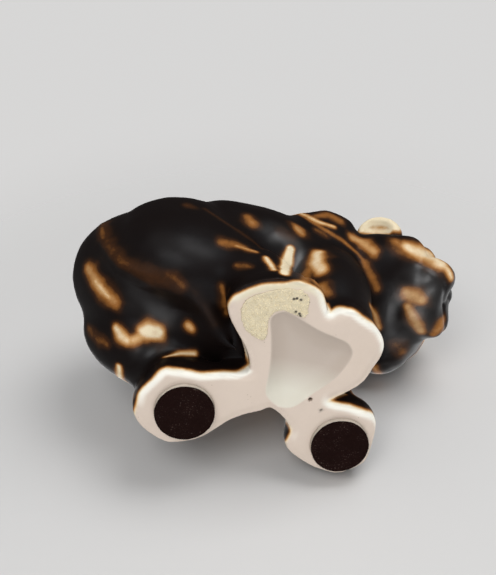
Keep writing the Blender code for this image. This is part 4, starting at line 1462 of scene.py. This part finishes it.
def pale_room(settings):
    """A plain pale world that lights the object evenly, with a dim ceiling in reflections."""
    world = bpy.data.worlds.new("pale_room")
    world.use_nodes = True
    tree = Tree(world.node_tree)
    world.node_tree.nodes.clear()
    ray = world.node_tree.nodes.new("ShaderNodeLightPath")
    camera, glossy, clear = (Wire(tree, ray.outputs["Is " + kind + " Ray"])
                             for kind in ("Camera", "Glossy", "Transmission"))
    direction = tree.node("ShaderNodeTexCoord", {}, {}, "Generated")
    upwards = tree.node("ShaderNodeSeparateXYZ", {}, {0: direction}, 2)
    overhead = ((upwards - 0.25) * 2.0).held() * glossy
    shade = tree.node("ShaderNodeMix", {"data_type": "RGBA"},
                      {0: overhead, 6: (*settings.pale, 1.0), 7: (*settings.ceiling, 1.0)}, 2)
    shown = tree.node("ShaderNodeBackground", {}, {"Color": shade, "Strength": 1.0})
    light = tree.node("ShaderNodeBackground", {},
                      {"Color": (1.0, 1.0, 1.0, 1.0), "Strength": settings.ambient})
    seen = camera.largest(glossy).largest(clear)
    mixed = tree.node("ShaderNodeMixShader", {}, {0: seen, 1: light, 2: shown})
    tree.node("ShaderNodeOutputWorld", {}, {"Surface": mixed})
    return world


class FIGURINE_OT_stage(bpy.types.Operator):
    """Set up the camera, the floors, the world and the lamps"""
    bl_idname = "figurine.stage"
    bl_label = "Stage"

    def execute(self, context):
        settings = context.scene.figurine.stage
        context.scene.view_settings.view_transform = "Standard"
        context.scene.camera = add_camera()
        context.scene.world = pale_room(settings)
        low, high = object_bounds()
        middle = (low + high) / 2
        standing = Vector((middle.x, middle.y, 0.0))
        add_floor("standing_floor", settings.floor, standing, Vector((0, 0, 1)), *STANDING_REACH)
        body = Skin(bpy.data.objects["glazed_body"].data)
        lowest = (body.places @ np.array(LYING_UP)).min()
        lying = middle + LYING_UP * (lowest - middle.dot(LYING_UP))
        add_floor("lying_floor", settings.floor, lying, LYING_UP, *LYING_REACH)
        for name, lamp in LAMPS.items():
            add_lamp("lamp_" + name, getattr(settings, name), lamp, middle)
        return {"FINISHED"}


class FIGURINE_PT_panel(bpy.types.Panel):
    """The figurine's settings and steps"""
    bl_label = "Figurine"
    bl_idname = "FIGURINE_PT_panel"
    bl_space_type = "VIEW_3D"
    bl_region_type = "UI"
    bl_category = "Figurine"

    def draw(self, context):
        settings = context.scene.figurine
        groups = ((FIGURINE_OT_glazed_body, settings.skin), (FIGURINE_OT_felt_pads, settings.felt),
                  (FIGURINE_OT_dried_glue, settings.glue), (FIGURINE_OT_stage, settings.stage))
        for operator, group in groups:
            box = self.layout.box()
            for name in group.__annotations__:
                box.prop(group, name)
            box.operator(operator.bl_idname)


CLASSES = (SkinSettings, FeltSettings, GlueSettings, StageSettings, FigurineSettings, FIGURINE_OT_glazed_body,
           FIGURINE_OT_felt_pads, FIGURINE_OT_dried_glue, FIGURINE_OT_stage, FIGURINE_PT_panel)


def register():
    for item in CLASSES:
        bpy.utils.register_class(item)
    bpy.types.Scene.figurine = PointerProperty(type=FigurineSettings)


def unregister():
    del bpy.types.Scene.figurine
    for item in reversed(CLASSES):
        bpy.utils.unregister_class(item)


def main():
    """Dress the figurine and set the stage."""
    register()
    bpy.ops.figurine.glazed_body()
    bpy.ops.figurine.felt_pads()
    bpy.ops.figurine.dried_glue()
    bpy.ops.figurine.stage()


if __name__ == "__main__":
    main()
